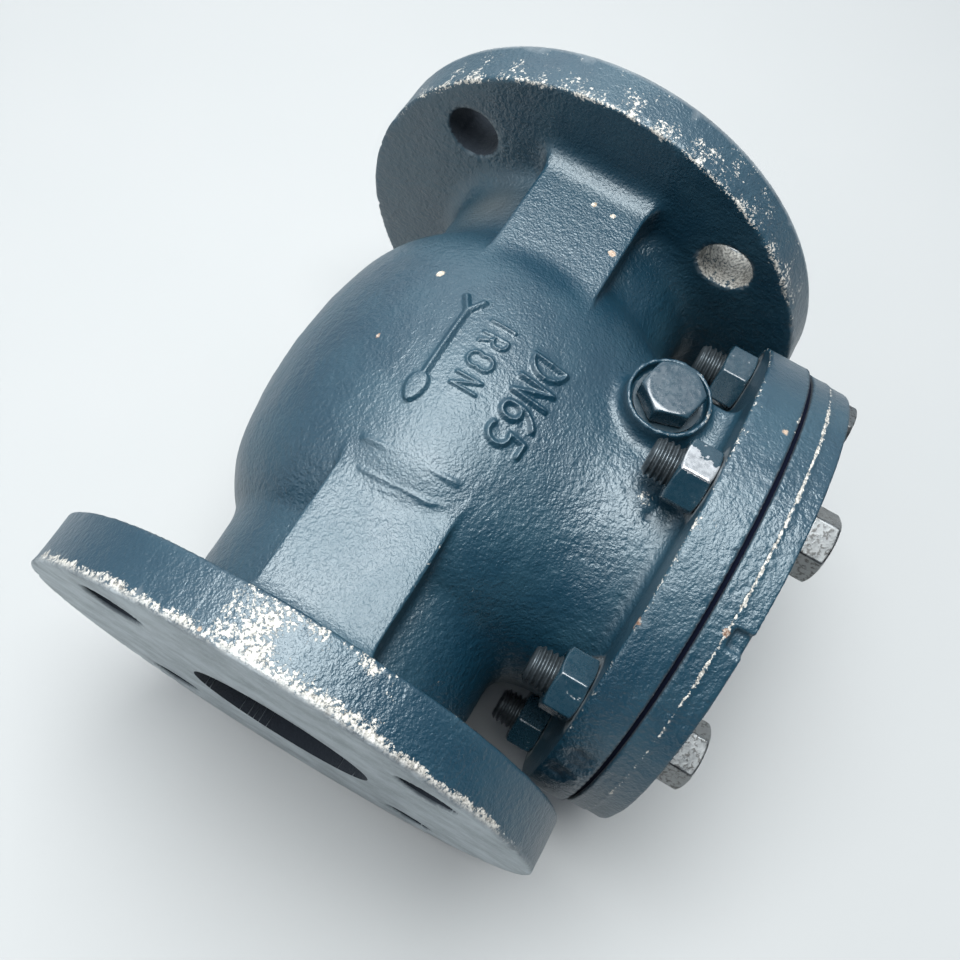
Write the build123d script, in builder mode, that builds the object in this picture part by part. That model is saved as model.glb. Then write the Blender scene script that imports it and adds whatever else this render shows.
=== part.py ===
"""Flanged swing check valve, nominal bore 65 mm, cast iron with a bolted cover.

Frame: millimetres.  +X is the way the liquid flows, from the inlet flange to
the outlet flange.  +Y goes from the pipe axis towards the bolted cover.  +Z
comes out of the side that carries the cast marks.  The origin is the centre
of the inlet flange's outer face.
"""
import os
from math import cos, radians, sin

from build123d import *

os.makedirs("parts", exist_ok=True)

# ---- driving dimensions -------------------------------------------------
# pipe ends
FACE_TO_FACE = 216.0
BORE_R = 31.75
FLANGE_R = 88.9
FLANGE_T = 17.5
FLANGE_PCD_R = 69.85
FLANGE_HOLES = 4
FLANGE_HOLE_R = 9.5
FLANGE_EDGE = 1.2
# outside of the casting
NECK_R = 49.0
NECK_FILLET = 9.0
GLOBE_X = 106.0
GLOBE_R = 68.3
GLOBE_CROWN = (34.0, 64.8)
GLOBE_SHOULDER = (57.0, 53.0)
GLOBE_FOOT = (66.5, 48.8)
PAD_Z = 60.0
PAD_HALF_W = 19.0
PAD_END_GAP = 3.0
PAD_ROUND = 2.5
PAD_SIDE_ROUND = 1.0
# bonnet neck and its bolted joint
BONNET_R = 58.0
BONNET_BORE_R = 50.0
BONNET_FILLET = 4.0
JOINT_UNDER_Y = 75.0
JOINT_Y = 89.0
JOINT_R = 84.0
JOINT_EDGE = 0.9
GASKET_T = 1.6
GASKET_R = 81.5
COVER_R = 82.7
COVER_T = 13.0
COVER_EDGE = 1.4
COVER_STEP = 0.35
COVER_STEP_Y = 96.7
COVER_BOSS_R = 46.0
COVER_BOSS_H = 3.0
SPIGOT_R = 49.5
SPIGOT_DEPTH = 4.0
DISH_R = 41.0
DISH_DEPTH = 8.0
# cover bolting, 1/2 in
BOLTS = 6
BOLT_PCD_R = 70.0
BOLT_FIRST_DEG = 30.0
BOLT_R = 6.35
BOLT_HOLE_R = 7.1
BOLT_END_Y = 56.5
THREAD_PITCH = 1.95
THREAD_DEPTH = 0.95
HEX_AF = 19.05
HEAD_H = 8.2
NUT_H = 10.2
HEX_CROWN = 1.6
NUT_SPOT_R = 11.4
# inside of the casting
MOUTH_LENGTH = 13.0
WALL_NEAR_X = 62.0
WALL_FAR_X = 72.0
WALL_TOP_Y = 70.0
SEAT_THREAD_R = 36.5
SEAT_LIP_R = 40.5
SEAT_LIP_X = 75.0
SEAT_FACE_X = 76.0
SEAT_BEAD_R = (32.6, 36.0)
# hinge pin
PIN_X = 83.2
PIN_Y = 54.0
PIN_R = 5.0
RUNNING_FIT = 0.05
PIN_HALF_L = 56.0
LUG_R = 11.0
LUG_INNER_Z = 34.0
BOSS_R = 13.4
BOSS_Z = 66.0
BOSS_WEB_HALF_W = 8.5
BOSS_WEB_Z = 61.5
SPOT_R = 11.7
SPOT_Z = 61.8
PLUG_THREAD_R = 7.6
PLUG_AF = 17.3
PLUG_HEAD_H = 8.2
SPOT_CUT_OVER = 4.0
PLUG_WASHER_R = 10.6
PLUG_WASHER_T = 1.0
# disc and its arm
HUB_R = 9.0
HUB_HALF_L = 32.0
ARM_NEAR_X = 84.8
ARM_FAR_X = 95.0
ARM_BOSS_R = 14.0
STOP_ANGLE_DEG = 60.0
STOP_REACH = 12.0
STOP_R = 4.0
STOP_HALF_W = 10.0
DISC_R = 38.5
DISC_FRONT_X = 76.8
DISC_BACK_X = 84.4
STEM_R = 6.3
STEM_SHOULDER_X = 95.4
STEM_THREAD_R = 5.5
STEM_END_X = 109.0
INSERT_R = (30.0, 37.4)
INSERT_X = (76.3, 79.3)
DISC_WASHER_R = 12.0
DISC_WASHER_T = 2.0
DISC_NUT_AF = 17.0
DISC_NUT_H = 6.5
COTTER_R = 1.2
COTTER_X = 106.2
COTTER_HALF_L = 9.0
PIN_CHAMFER = 0.6
PLUG_TURN_DEG = -12.0
ARM_PLATE_SET = 0.7
ARM_PLATE_T = 7.0
ARM_HALF_W = (12.0, 24.0)
DISC_CHAMFER = 1.5
COTTER_EYE_R = 2.2
NICK_DEG = 62.5
NICK_SIZE = (5.0, 5.0, 7.0)
HEAD_TURNS_DEG = (12.0, 18.0, 40.0, 5.0, 33.0, 50.0)
NUT_TURNS_DEG = (25.0, 8.0, 1.0, 44.0, 16.0, 10.0)
# raised marks
MARK_H = 1.3
MARK_BOTTOM_Z = 61.5
SIZE_WORD_AT = (93.5, 13.2)
SIZE_LETTER_H = 11.0
SIZE_STROKE = 2.3
SIZE_GAP = 3.3
METAL_WORD_AT = (91.0, -3.0)
METAL_LETTER_H = 8.0
METAL_STROKE = 1.4
METAL_GAP = 4.2
ARROW_X = (92.0, 127.5)
ARROW_Y = -11.0
ARROW_BAR_W = 2.6
# inside of the casting, as (x, radius) after the inlet mouth and behind the wall
INLET_POCKET = ((24.0, 37.0), (36.0, 41.0), (50.0, 40.5), (60.0, 36.5), (62.0, 34.2))
CHAMBER = (
    (72.0, 50.0),
    (80.0, 57.0),
    (106.0, 60.3),
    (132.0, 57.0),
    (150.0, 48.5),
    (164.0, 41.5),
    (184.0, 36.5),
)


def save(node, label):
    """Label a finished solid and write it as parts/LABEL.step."""
    node.label = label
    export_step(node, f"parts/{label}.step")


def polar(radius, angle_deg):
    """X and Z of a point on a circle round the cover's axis."""
    return (
        GLOBE_X + radius * cos(radians(angle_deg)),
        radius * sin(radians(angle_deg)),
    )


def bolt_angles():
    """Where the cover bolts stand, in degrees from +X towards +Z."""
    return [BOLT_FIRST_DEG + 360 / BOLTS * i for i in range(BOLTS)]


def hex_prism(across_flats, height, crown):
    """A hexagon standing on the XY plane with its top corners turned away."""
    corner_r = across_flats / 2 / cos(radians(30))
    with BuildPart() as prism:
        with BuildSketch():
            RegularPolygon(corner_r, 6)
        extrude(amount=height)
        with BuildSketch(Plane.XZ):
            with BuildLine():
                Polyline(
                    (0, 0),
                    (corner_r + 1, 0),
                    (corner_r + 1, height - crown),
                    (corner_r, height - crown * 0.62),
                    (across_flats / 2 - 0.4, height),
                    (0, height),
                    close=True,
                )
            make_face()
        revolve(axis=Axis.Z, mode=Mode.INTERSECT)
    return prism.part


# ---- shared shapes ------------------------------------------------------
def globe_solid(grow=0.0):
    """The globe alone, a little larger all round when grow is given."""
    with BuildPart() as solid:
        with BuildSketch(Plane.XY):
            with BuildLine():
                crown = ThreePointArc(
                    (GLOBE_X - GLOBE_CROWN[0], GLOBE_CROWN[1] + grow),
                    (GLOBE_X, GLOBE_R + grow),
                    (GLOBE_X + GLOBE_CROWN[0], GLOBE_CROWN[1] + grow),
                )
                for side, end in ((-1, 0), (1, 1)):
                    shoulder = TangentArc(
                        crown @ end,
                        (GLOBE_X + side * GLOBE_SHOULDER[0], GLOBE_SHOULDER[1] + grow),
                        tangent=(crown % end) * side,
                    )
                    foot = TangentArc(
                        shoulder @ 1,
                        (GLOBE_X + side * GLOBE_FOOT[0], GLOBE_FOOT[1] + grow),
                        tangent=shoulder % 1,
                    )
                    Line(foot @ 1, (GLOBE_X + side * GLOBE_FOOT[0], 0))
                Line((GLOBE_X - GLOBE_FOOT[0], 0), (GLOBE_X + GLOBE_FOOT[0], 0))
            make_face()
        revolve(axis=Axis.X)
    return solid.part


FAR_FLANGE_X = FACE_TO_FACE - FLANGE_T
PAD_X = (FLANGE_T + PAD_END_GAP, FAR_FLANGE_X - PAD_END_GAP)
COVER_IN_Y = JOINT_Y + GASKET_T
COVER_OUT_Y = COVER_IN_Y + COVER_T


def bonnet_plane(y):
    """A plane at height y whose normal points to the cover, local x along the pipe."""
    return Plane(origin=(GLOBE_X, y, 0), x_dir=(1, 0, 0), z_dir=(0, 1, 0))


def upright_cylinder(radius, y_from, y_to, mode=Mode.ADD):
    """A cylinder round the cover's axis between two heights."""
    with Locations(bonnet_plane(y_from)):
        Cylinder(
            radius,
            y_to - y_from,
            align=(Align.CENTER, Align.CENTER, Align.MIN),
            mode=mode,
        )


def cross_cylinder(radius, z_from, z_to, mode=Mode.ADD):
    """A cylinder round the hinge pin's axis between two Z values."""
    with Locations((PIN_X, PIN_Y, z_from)):
        Cylinder(
            radius,
            z_to - z_from,
            align=(Align.CENTER, Align.CENTER, Align.MIN),
            mode=mode,
        )


def pipe_cylinder(radius, x_from, x_to, mode=Mode.ADD):
    """A cylinder round the pipe axis between two X values."""
    with Locations(Plane.YZ.offset(x_from)):
        Cylinder(
            radius,
            x_to - x_from,
            align=(Align.CENTER, Align.CENTER, Align.MIN),
            mode=mode,
        )


def cover_bolt_places(y):
    """One location per cover bolt on the plane at height y."""
    plane = bonnet_plane(y)
    places = []
    for angle in bolt_angles():
        x, z = polar(BOLT_PCD_R, angle)
        places.append(Location(Plane(origin=(x, y, z), x_dir=plane.x_dir, z_dir=plane.z_dir)))
    return places


def ring_of_holes(x, length):
    """Cut the four pipe-bolt holes along +X through a flange, starting at x."""
    with Locations(Plane.YZ.offset(x)):
        with PolarLocations(FLANGE_PCD_R, FLANGE_HOLES, start_angle=45):
            Cylinder(
                FLANGE_HOLE_R,
                length,
                align=(Align.CENTER, Align.CENTER, Align.MIN),
                mode=Mode.SUBTRACT,
            )


# ---- raised marks -------------------------------------------------------
LETTERS = {
    "D": [((0, 0), (0, 1)), ((0, 1), (0.5, 0.5), (0, 0))],
    "N": [((0, 0), (0, 1)), ((0, 1), (0.5, 0)), ((0.5, 0), (0.5, 1))],
    "6": [
        ((0.02, 0.27), (0.24, 0.53), (0.46, 0.27)),
        ((0.02, 0.27), (0.24, 0.0), (0.46, 0.27)),
        ((0.02, 0.27), (0.11, 0.74), (0.4, 1)),
    ],
    "5": [
        ((0.44, 1), (0.08, 1)),
        ((0.08, 1), (0.05, 0.56)),
        ((0.05, 0.56), (0.48, 0.31), (0.02, 0.04)),
    ],
    "I": [((0.05, 0), (0.05, 1))],
    "R": [((0, 0), (0, 1)), ((0, 1), (0.42, 0.76), (0, 0.5)), ((0.16, 0.5), (0.44, 0))],
    "O": [((0, 0.5), (0.26, 1), (0.52, 0.5)), ((0, 0.5), (0.26, 0), (0.52, 0.5))],
}
LETTER_WIDTHS = {"D": 0.5, "N": 0.5, "6": 0.46, "5": 0.46, "I": 0.1, "R": 0.44, "O": 0.52}


def word(text, height, stroke, gap):
    """Draw a word in round-ended strokes from local (0, 0) along local x."""
    x0 = 0.0
    for letter in text:
        for points in LETTERS[letter]:
            placed = [(x0 + u * height, v * height) for u, v in points]
            with BuildLine(mode=Mode.PRIVATE) as path:
                if len(placed) == 2:
                    Line(*placed)
                else:
                    ThreePointArc(*placed)
            SlotArc(path.edges()[0], stroke)
        x0 += LETTER_WIDTHS[letter] * height + gap


with BuildPart() as marks:
    # everything cast proud of the globe, as tall prisms cut to its skin
    with BuildSketch(Plane.XY.offset(MARK_BOTTOM_Z)):
        with Locations(SIZE_WORD_AT):
            with BuildSketch(mode=Mode.PRIVATE) as size_word:
                word("DN65", SIZE_LETTER_H, SIZE_STROKE, SIZE_GAP)
            add(size_word.sketch)
        with Locations(METAL_WORD_AT):
            with BuildSketch(mode=Mode.PRIVATE) as metal_word:
                word("IRON", METAL_LETTER_H, METAL_STROKE, METAL_GAP)
            add(metal_word.sketch)
        # flow arrow: a leaf-shaped head, a bar, and two tail strokes
        with BuildLine():
            Spline((ARROW_X[1], ARROW_Y), (122.0, ARROW_Y + 3.4), (117.5, ARROW_Y + 1.0))
            Line((117.5, ARROW_Y + 1.0), (117.5, ARROW_Y - 1.0))
            Spline((117.5, ARROW_Y - 1.0), (122.0, ARROW_Y - 3.4), (ARROW_X[1], ARROW_Y))
        make_face()
        for start, end in (
            ((ARROW_X[0], ARROW_Y), (118.5, ARROW_Y)),
            ((ARROW_X[0] - 5.0, ARROW_Y + 3.0), (ARROW_X[0], ARROW_Y)),
            ((ARROW_X[0] - 5.0, ARROW_Y - 3.0), (ARROW_X[0], ARROW_Y)),
        ):
            with BuildLine(mode=Mode.PRIVATE) as bar:
                Line(start, end)
            SlotArc(bar.edges()[0], ARROW_BAR_W)
    extrude(amount=GLOBE_R)
    add(globe_solid(MARK_H), mode=Mode.INTERSECT)


# ---- body casting -------------------------------------------------------
def passage_cutter():
    """The liquid's way through: inlet pocket, seat hole, chamber, outlet."""
    with BuildPart() as cutter:
        with BuildSketch(Plane.XY):
            with BuildLine():
                Polyline(
                    (-1, 0),
                    (-1, BORE_R),
                    (MOUTH_LENGTH, BORE_R),
                )
                Spline(
                    (MOUTH_LENGTH, BORE_R),
                    *INLET_POCKET,
                    tangents=((1, 0), (0.25, -1)),
                )
                Polyline(
                    INLET_POCKET[-1],
                    (WALL_NEAR_X, SEAT_THREAD_R),
                    (WALL_FAR_X, SEAT_THREAD_R),
                    CHAMBER[0],
                )
                Spline(
                    *CHAMBER,
                    (FACE_TO_FACE - MOUTH_LENGTH, BORE_R),
                    tangents=((0.6, 1), (1, 0)),
                )
                Polyline(
                    (FACE_TO_FACE - MOUTH_LENGTH, BORE_R),
                    (FACE_TO_FACE + 1, BORE_R),
                    (FACE_TO_FACE + 1, 0),
                    (-1, 0),
                )
            make_face()
        revolve(axis=Axis.X)
        # the bonnet opening: a full circle above the seat wall, and only
        # the part behind the wall below it
        with BuildPart(mode=Mode.PRIVATE) as bonnet:
            upright_cylinder(BONNET_BORE_R, 0, JOINT_Y + 1)
            with Locations((WALL_FAR_X, -1, 0)):
                Box(
                    FACE_TO_FACE,
                    WALL_TOP_Y + 1,
                    FACE_TO_FACE,
                    align=(Align.MAX, Align.MIN, Align.CENTER),
                    mode=Mode.SUBTRACT,
                )
        add(bonnet.part)
    return cutter.part


with BuildPart() as body:
    # end flanges, the pipe necks behind them, and the globe
    with BuildSketch(Plane.XY):
        with BuildLine():
            Polyline(
                (0, 0),
                (0, FLANGE_R),
                (FLANGE_T, FLANGE_R),
                (FLANGE_T, NECK_R),
                (FAR_FLANGE_X, NECK_R),
                (FAR_FLANGE_X, FLANGE_R),
                (FACE_TO_FACE, FLANGE_R),
                (FACE_TO_FACE, 0),
                close=True,
            )
        make_face()
    revolve(axis=Axis.X)
    circles = body.edges().filter_by(GeomType.CIRCLE)
    fillet([e for e in circles if abs(e.radius - NECK_R) < 0.01], NECK_FILLET)
    circles = body.edges().filter_by(GeomType.CIRCLE)
    fillet([e for e in circles if abs(e.radius - FLANGE_R) < 0.01], FLANGE_EDGE)
    add(globe_solid())

    # bonnet neck, blended into the globe
    upright_cylinder(BONNET_R, 0, JOINT_UNDER_Y + 1)
    # the round flange that takes the cover
    upright_cylinder(JOINT_R, JOINT_UNDER_Y, JOINT_Y)
    joint_rims = [
        e
        for e in body.edges().filter_by(GeomType.CIRCLE)
        if abs(e.radius - JOINT_R) < 0.01
    ]
    fillet(joint_rims, JOINT_EDGE)
    joint_root = [
        e
        for e in body.edges().filter_by(GeomType.CIRCLE)
        if abs(e.radius - BONNET_R) < 0.01 and abs(e.center().Y - JOINT_UNDER_Y) < 0.01
    ]
    fillet(joint_root, BONNET_FILLET)

    # the joint's root is spot-faced round each nut
    with Locations(*cover_bolt_places(JOINT_UNDER_Y)):
        Cylinder(
            NUT_SPOT_R,
            NUT_H + 1,
            align=(Align.CENTER, Align.CENTER, Align.MAX),
            mode=Mode.SUBTRACT,
        )

    # flat bars along the pipe necks, on the marked side and on the side under it
    with BuildPart(mode=Mode.PRIVATE) as bars:
        with Locations(((PAD_X[0] + PAD_X[1]) / 2, 0, 0)):
            Box(PAD_X[1] - PAD_X[0], 2 * PAD_HALF_W, 2 * PAD_Z)
        ends = [
            e
            for e in bars.edges().filter_by(Axis.Y)
        ]
        fillet(ends, PAD_ROUND)
        sides = [
            e
            for e in bars.edges().filter_by(Axis.X)
        ]
        fillet(sides, PAD_SIDE_ROUND)
    add(bars.part)

    # bosses for the hinge pin's plugs, each with a web up to the cover flange
    for z in (0, -BOSS_Z):
        cross_cylinder(BOSS_R, z, z + BOSS_Z)
    with Locations((PIN_X, PIN_Y, 0)):
        Box(
            2 * BOSS_WEB_HALF_W,
            JOINT_UNDER_Y - PIN_Y,
            2 * BOSS_WEB_Z,
            align=(Align.CENTER, Align.MIN, Align.CENTER),
        )
    add(marks.part)

    # inside
    add(passage_cutter(), mode=Mode.SUBTRACT)
    for side in (1, -1):
        low, high = sorted((side * LUG_INNER_Z, side * (BONNET_BORE_R + 1)))
        cross_cylinder(LUG_R, low, high)
        low, high = sorted((side * (LUG_INNER_Z - 1), side * (PIN_HALF_L + 1)))
        cross_cylinder(PIN_R + RUNNING_FIT, low, high, mode=Mode.SUBTRACT)
        low, high = sorted((side * PIN_HALF_L, side * (BOSS_Z + 1)))
        cross_cylinder(PLUG_THREAD_R, low, high, mode=Mode.SUBTRACT)
        low, high = sorted((side * SPOT_Z, side * (BOSS_Z + SPOT_CUT_OVER)))
        cross_cylinder(SPOT_R, low, high, mode=Mode.SUBTRACT)

    # bolt holes
    ring_of_holes(-1, FLANGE_T + 2)
    ring_of_holes(FAR_FLANGE_X - 1, FLANGE_T + 2)
    with Locations(*cover_bolt_places(JOINT_UNDER_Y - 1)):
        Cylinder(
            BOLT_HOLE_R,
            JOINT_Y - JOINT_UNDER_Y + 2,
            align=(Align.CENTER, Align.CENTER, Align.MIN),
            mode=Mode.SUBTRACT,
        )

save(body.part, "body")


# ---- bolted cover -------------------------------------------------------
with BuildPart() as cover:
    upright_cylinder(COVER_R, COVER_IN_Y, COVER_STEP_Y)
    upright_cylinder(COVER_R - COVER_STEP, COVER_STEP_Y, COVER_OUT_Y)
    outer_rim = [
        e
        for e in cover.edges().filter_by(GeomType.CIRCLE)
        if abs(e.center().Y - COVER_OUT_Y) < 0.01
    ]
    fillet(outer_rim, COVER_EDGE)
    inner_rim = [
        e
        for e in cover.edges().filter_by(GeomType.CIRCLE)
        if abs(e.center().Y - COVER_IN_Y) < 0.01
    ]
    fillet(inner_rim, JOINT_EDGE)
    upright_cylinder(COVER_BOSS_R, COVER_OUT_Y, COVER_OUT_Y + COVER_BOSS_H)
    boss_rim = [
        e
        for e in cover.edges().filter_by(GeomType.CIRCLE)
        if e.center().Y > COVER_OUT_Y + COVER_BOSS_H - 0.01
    ]
    fillet(boss_rim, COVER_BOSS_H / 2)
    upright_cylinder(SPIGOT_R, COVER_IN_Y - SPIGOT_DEPTH, COVER_IN_Y)
    upright_cylinder(
        DISH_R,
        COVER_IN_Y - SPIGOT_DEPTH,
        COVER_IN_Y - SPIGOT_DEPTH + DISH_DEPTH,
        mode=Mode.SUBTRACT,
    )
    with Locations(*cover_bolt_places(COVER_IN_Y - 1)):
        Cylinder(
            BOLT_HOLE_R,
            COVER_T + 2,
            align=(Align.CENTER, Align.CENTER, Align.MIN),
            mode=Mode.SUBTRACT,
        )
    # a small file nick across the outer corner of the rim
    nick_x, nick_z = polar(COVER_R, NICK_DEG)
    with Locations(
        Location(
            Plane(
                origin=(nick_x, COVER_OUT_Y, nick_z),
                x_dir=(cos(radians(NICK_DEG)), 0, sin(radians(NICK_DEG))),
                z_dir=(0, 1, 0),
            )
        )
    ):
        Box(*NICK_SIZE, mode=Mode.SUBTRACT)
save(cover.part, "cover")

with BuildPart() as cover_gasket:
    upright_cylinder(GASKET_R, JOINT_Y, COVER_IN_Y)
    upright_cylinder(BONNET_BORE_R + 1, JOINT_Y, COVER_IN_Y, mode=Mode.SUBTRACT)
    with Locations(*cover_bolt_places(JOINT_Y - 1)):
        Cylinder(
            BOLT_HOLE_R,
            GASKET_T + 2,
            align=(Align.CENTER, Align.CENTER, Align.MIN),
            mode=Mode.SUBTRACT,
        )
save(cover_gasket.part, "cover_gasket")


# ---- cover bolts and nuts ----------------------------------------------
def make_cover_bolt():
    """One bolt along +Z: head up from the XY plane, shank down, rings for thread."""
    length = COVER_OUT_Y - BOLT_END_Y
    smooth = COVER_OUT_Y - JOINT_UNDER_Y + NUT_H
    turns = int((length - smooth - THREAD_DEPTH) / THREAD_PITCH)
    outline = [(0, 0), (BOLT_R, 0), (BOLT_R, -smooth - 0.1)]
    z = -smooth - 0.1
    for _ in range(turns):
        outline.append((BOLT_R - THREAD_DEPTH, z - THREAD_PITCH * 0.42))
        outline.append((BOLT_R - THREAD_DEPTH, z - THREAD_PITCH * 0.55))
        outline.append((BOLT_R, z - THREAD_PITCH * 0.92))
        outline.append((BOLT_R, z - THREAD_PITCH))
        z -= THREAD_PITCH
    outline.append((BOLT_R, -length + THREAD_DEPTH))
    outline.append((BOLT_R - THREAD_DEPTH, -length))
    outline.append((0, -length))
    with BuildPart() as bolt:
        with BuildSketch(Plane.XZ):
            with BuildLine():
                Polyline(*outline, close=True)
            make_face()
        revolve(axis=Axis.Z)
        add(hex_prism(HEX_AF, HEAD_H, HEX_CROWN))
    return bolt.part


def make_cover_nut():
    """One nut, from the XY plane down along -Z, crowned on its free face."""
    with BuildPart() as nut:
        add(hex_prism(HEX_AF, NUT_H, HEX_CROWN).rotate(Axis.X, 180))
        Cylinder(BOLT_R, 3 * NUT_H, mode=Mode.SUBTRACT)
    return nut.part


bolt_pattern = make_cover_bolt()
nut_pattern = make_cover_nut()
head_places = cover_bolt_places(COVER_OUT_Y)
nut_places = cover_bolt_places(JOINT_UNDER_Y)
for number in range(BOLTS):
    with BuildPart() as cover_bolt:
        add(
            bolt_pattern.rotate(Axis.Z, HEAD_TURNS_DEG[number]).moved(head_places[number])
        )
    save(cover_bolt.part, f"cover_bolt_{number + 1}")
    with BuildPart() as cover_nut:
        add(nut_pattern.rotate(Axis.Z, NUT_TURNS_DEG[number]).moved(nut_places[number]))
    save(cover_nut.part, f"cover_nut_{number + 1}")


# ---- hinge pin and its plugs -------------------------------------------
with BuildPart() as hinge_pin:
    cross_cylinder(PIN_R, -PIN_HALF_L, PIN_HALF_L)
    chamfer(hinge_pin.edges().filter_by(GeomType.CIRCLE), PIN_CHAMFER)
save(hinge_pin.part, "hinge_pin")


def make_plug():
    """One plug standing on the XY plane, which is the washer's upper face."""
    with BuildPart() as plug:
        add(hex_prism(PLUG_AF, PLUG_HEAD_H, HEX_CROWN))
        Cylinder(
            PLUG_THREAD_R,
            SPOT_Z + PLUG_WASHER_T - PIN_HALF_L,
            align=(Align.CENTER, Align.CENTER, Align.MAX),
        )
    return plug.part


for side, name in ((1, "marked_side"), (-1, "plain_side")):
    seat_z = SPOT_Z + PLUG_WASHER_T
    with BuildPart() as pin_plug:
        plug_part = make_plug().rotate(Axis.Z, PLUG_TURN_DEG)
        if side < 0:
            plug_part = plug_part.rotate(Axis.X, 180)
        add(plug_part.moved(Location((PIN_X, PIN_Y, side * seat_z))))
    save(pin_plug.part, f"pin_plug_{name}")
    with BuildPart() as plug_washer:
        low, high = sorted((side * SPOT_Z, side * seat_z))
        cross_cylinder(PLUG_WASHER_R, low, high)
        cross_cylinder(PLUG_THREAD_R, low, high, mode=Mode.SUBTRACT)
    save(plug_washer.part, f"plug_washer_{name}")


# ---- seat ring ----------------------------------------------------------
with BuildPart() as seat_ring:
    pipe_cylinder(SEAT_THREAD_R, WALL_NEAR_X, WALL_FAR_X)
    pipe_cylinder(SEAT_LIP_R, WALL_FAR_X, SEAT_LIP_X)
    pipe_cylinder(SEAT_BEAD_R[1], SEAT_LIP_X, SEAT_FACE_X)
    pipe_cylinder(BORE_R, WALL_NEAR_X - 1, SEAT_FACE_X + 1, mode=Mode.SUBTRACT)
    pipe_cylinder(SEAT_BEAD_R[0], SEAT_LIP_X, SEAT_FACE_X + 1, mode=Mode.SUBTRACT)
save(seat_ring.part, "seat_ring")


# ---- disc arm -----------------------------------------------------------
with BuildPart() as disc_arm:
    cross_cylinder(HUB_R, -HUB_HALF_L, HUB_HALF_L)
    # the plate behind the disc, wide at the hub and narrow at the boss
    with BuildSketch(Plane.YZ.offset(ARM_NEAR_X + ARM_PLATE_SET)):
        with BuildLine():
            Polyline(
                (0, -ARM_HALF_W[0]),
                (PIN_Y, -ARM_HALF_W[1]),
                (PIN_Y, ARM_HALF_W[1]),
                (0, ARM_HALF_W[0]),
                close=True,
            )
        make_face()
    extrude(amount=ARM_PLATE_T)
    with Locations((PIN_X, PIN_Y, 0)):
        Cylinder(HUB_R, 2 * ARM_HALF_W[1])
    pipe_cylinder(ARM_BOSS_R, ARM_NEAR_X, ARM_FAR_X)
    # the stop ear, which meets the seat wall when the valve is wide open
    ear_x = PIN_X + STOP_REACH * cos(radians(STOP_ANGLE_DEG))
    ear_y = PIN_Y + STOP_REACH * sin(radians(STOP_ANGLE_DEG))
    with Locations((ear_x, ear_y, 0)):
        Cylinder(STOP_R, 2 * STOP_HALF_W)
    with Locations((PIN_X, PIN_Y, 0)):
        Box(
            STOP_REACH,
            2 * STOP_R,
            2 * STOP_HALF_W,
            rotation=(0, 0, STOP_ANGLE_DEG),
            align=(Align.MIN, Align.CENTER, Align.CENTER),
        )
    cross_cylinder(PIN_R + RUNNING_FIT, -HUB_HALF_L - 1, HUB_HALF_L + 1, mode=Mode.SUBTRACT)
    pipe_cylinder(STEM_R + RUNNING_FIT, ARM_NEAR_X - 1, ARM_FAR_X + 1, mode=Mode.SUBTRACT)
save(disc_arm.part, "disc_arm")


# ---- disc and what is fixed to it --------------------------------------
with BuildPart() as disc:
    pipe_cylinder(DISC_R, DISC_FRONT_X, DISC_BACK_X)
    back_rim = [
        e
        for e in disc.edges().filter_by(GeomType.CIRCLE)
        if abs(e.center().X - DISC_BACK_X) < 0.01
    ]
    chamfer(back_rim, DISC_CHAMFER)
    pipe_cylinder(STEM_R, DISC_BACK_X, STEM_SHOULDER_X)
    pipe_cylinder(STEM_THREAD_R, STEM_SHOULDER_X, STEM_END_X)
    with BuildPart(mode=Mode.PRIVATE) as groove:
        pipe_cylinder(INSERT_R[1], DISC_FRONT_X - 1, INSERT_X[1])
        pipe_cylinder(INSERT_R[0], DISC_FRONT_X - 1, INSERT_X[1], mode=Mode.SUBTRACT)
    add(groove.part, mode=Mode.SUBTRACT)
    with Locations((COTTER_X, 0, 0)):
        Cylinder(COTTER_R, 4 * STEM_R, mode=Mode.SUBTRACT)
save(disc.part, "disc")

with BuildPart() as disc_insert:
    pipe_cylinder(INSERT_R[1], *INSERT_X)
    pipe_cylinder(INSERT_R[0], *INSERT_X, mode=Mode.SUBTRACT)
save(disc_insert.part, "disc_insert")

with BuildPart() as disc_washer:
    pipe_cylinder(DISC_WASHER_R, STEM_SHOULDER_X, STEM_SHOULDER_X + DISC_WASHER_T)
    pipe_cylinder(
        STEM_THREAD_R, STEM_SHOULDER_X, STEM_SHOULDER_X + DISC_WASHER_T, mode=Mode.SUBTRACT
    )
save(disc_washer.part, "disc_washer")

with BuildPart() as disc_nut:
    nut_x = STEM_SHOULDER_X + DISC_WASHER_T
    add(hex_prism(DISC_NUT_AF, DISC_NUT_H, HEX_CROWN / 2).moved(Location(Plane.YZ.offset(nut_x))))
    pipe_cylinder(STEM_THREAD_R, nut_x - 1, nut_x + DISC_NUT_H + 1, mode=Mode.SUBTRACT)
save(disc_nut.part, "disc_nut")

with BuildPart() as cotter_pin:
    with Locations((COTTER_X, 0, 0)):
        Cylinder(COTTER_R, 2 * COTTER_HALF_L)
    # the eye at one end
    with Locations(Location((COTTER_X, 0, COTTER_HALF_L + COTTER_EYE_R), (90, 0, 0))):
        Torus(COTTER_EYE_R, COTTER_R * 0.9)
save(cotter_pin.part, "cotter_pin")
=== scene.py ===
"""Looks of a cast-iron flanged swing check valve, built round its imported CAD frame.

The casting and its cover are polygonised from signed-distance shapes, so that
every junction has the soft fillet of a sand casting; bolts, nuts and the plug
are turned and threaded here.  Lengths in the shape code are millimetres.
"""

import math

import bmesh
import bpy
import numpy as np
from mathutils import Euler, Matrix, Vector


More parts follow.
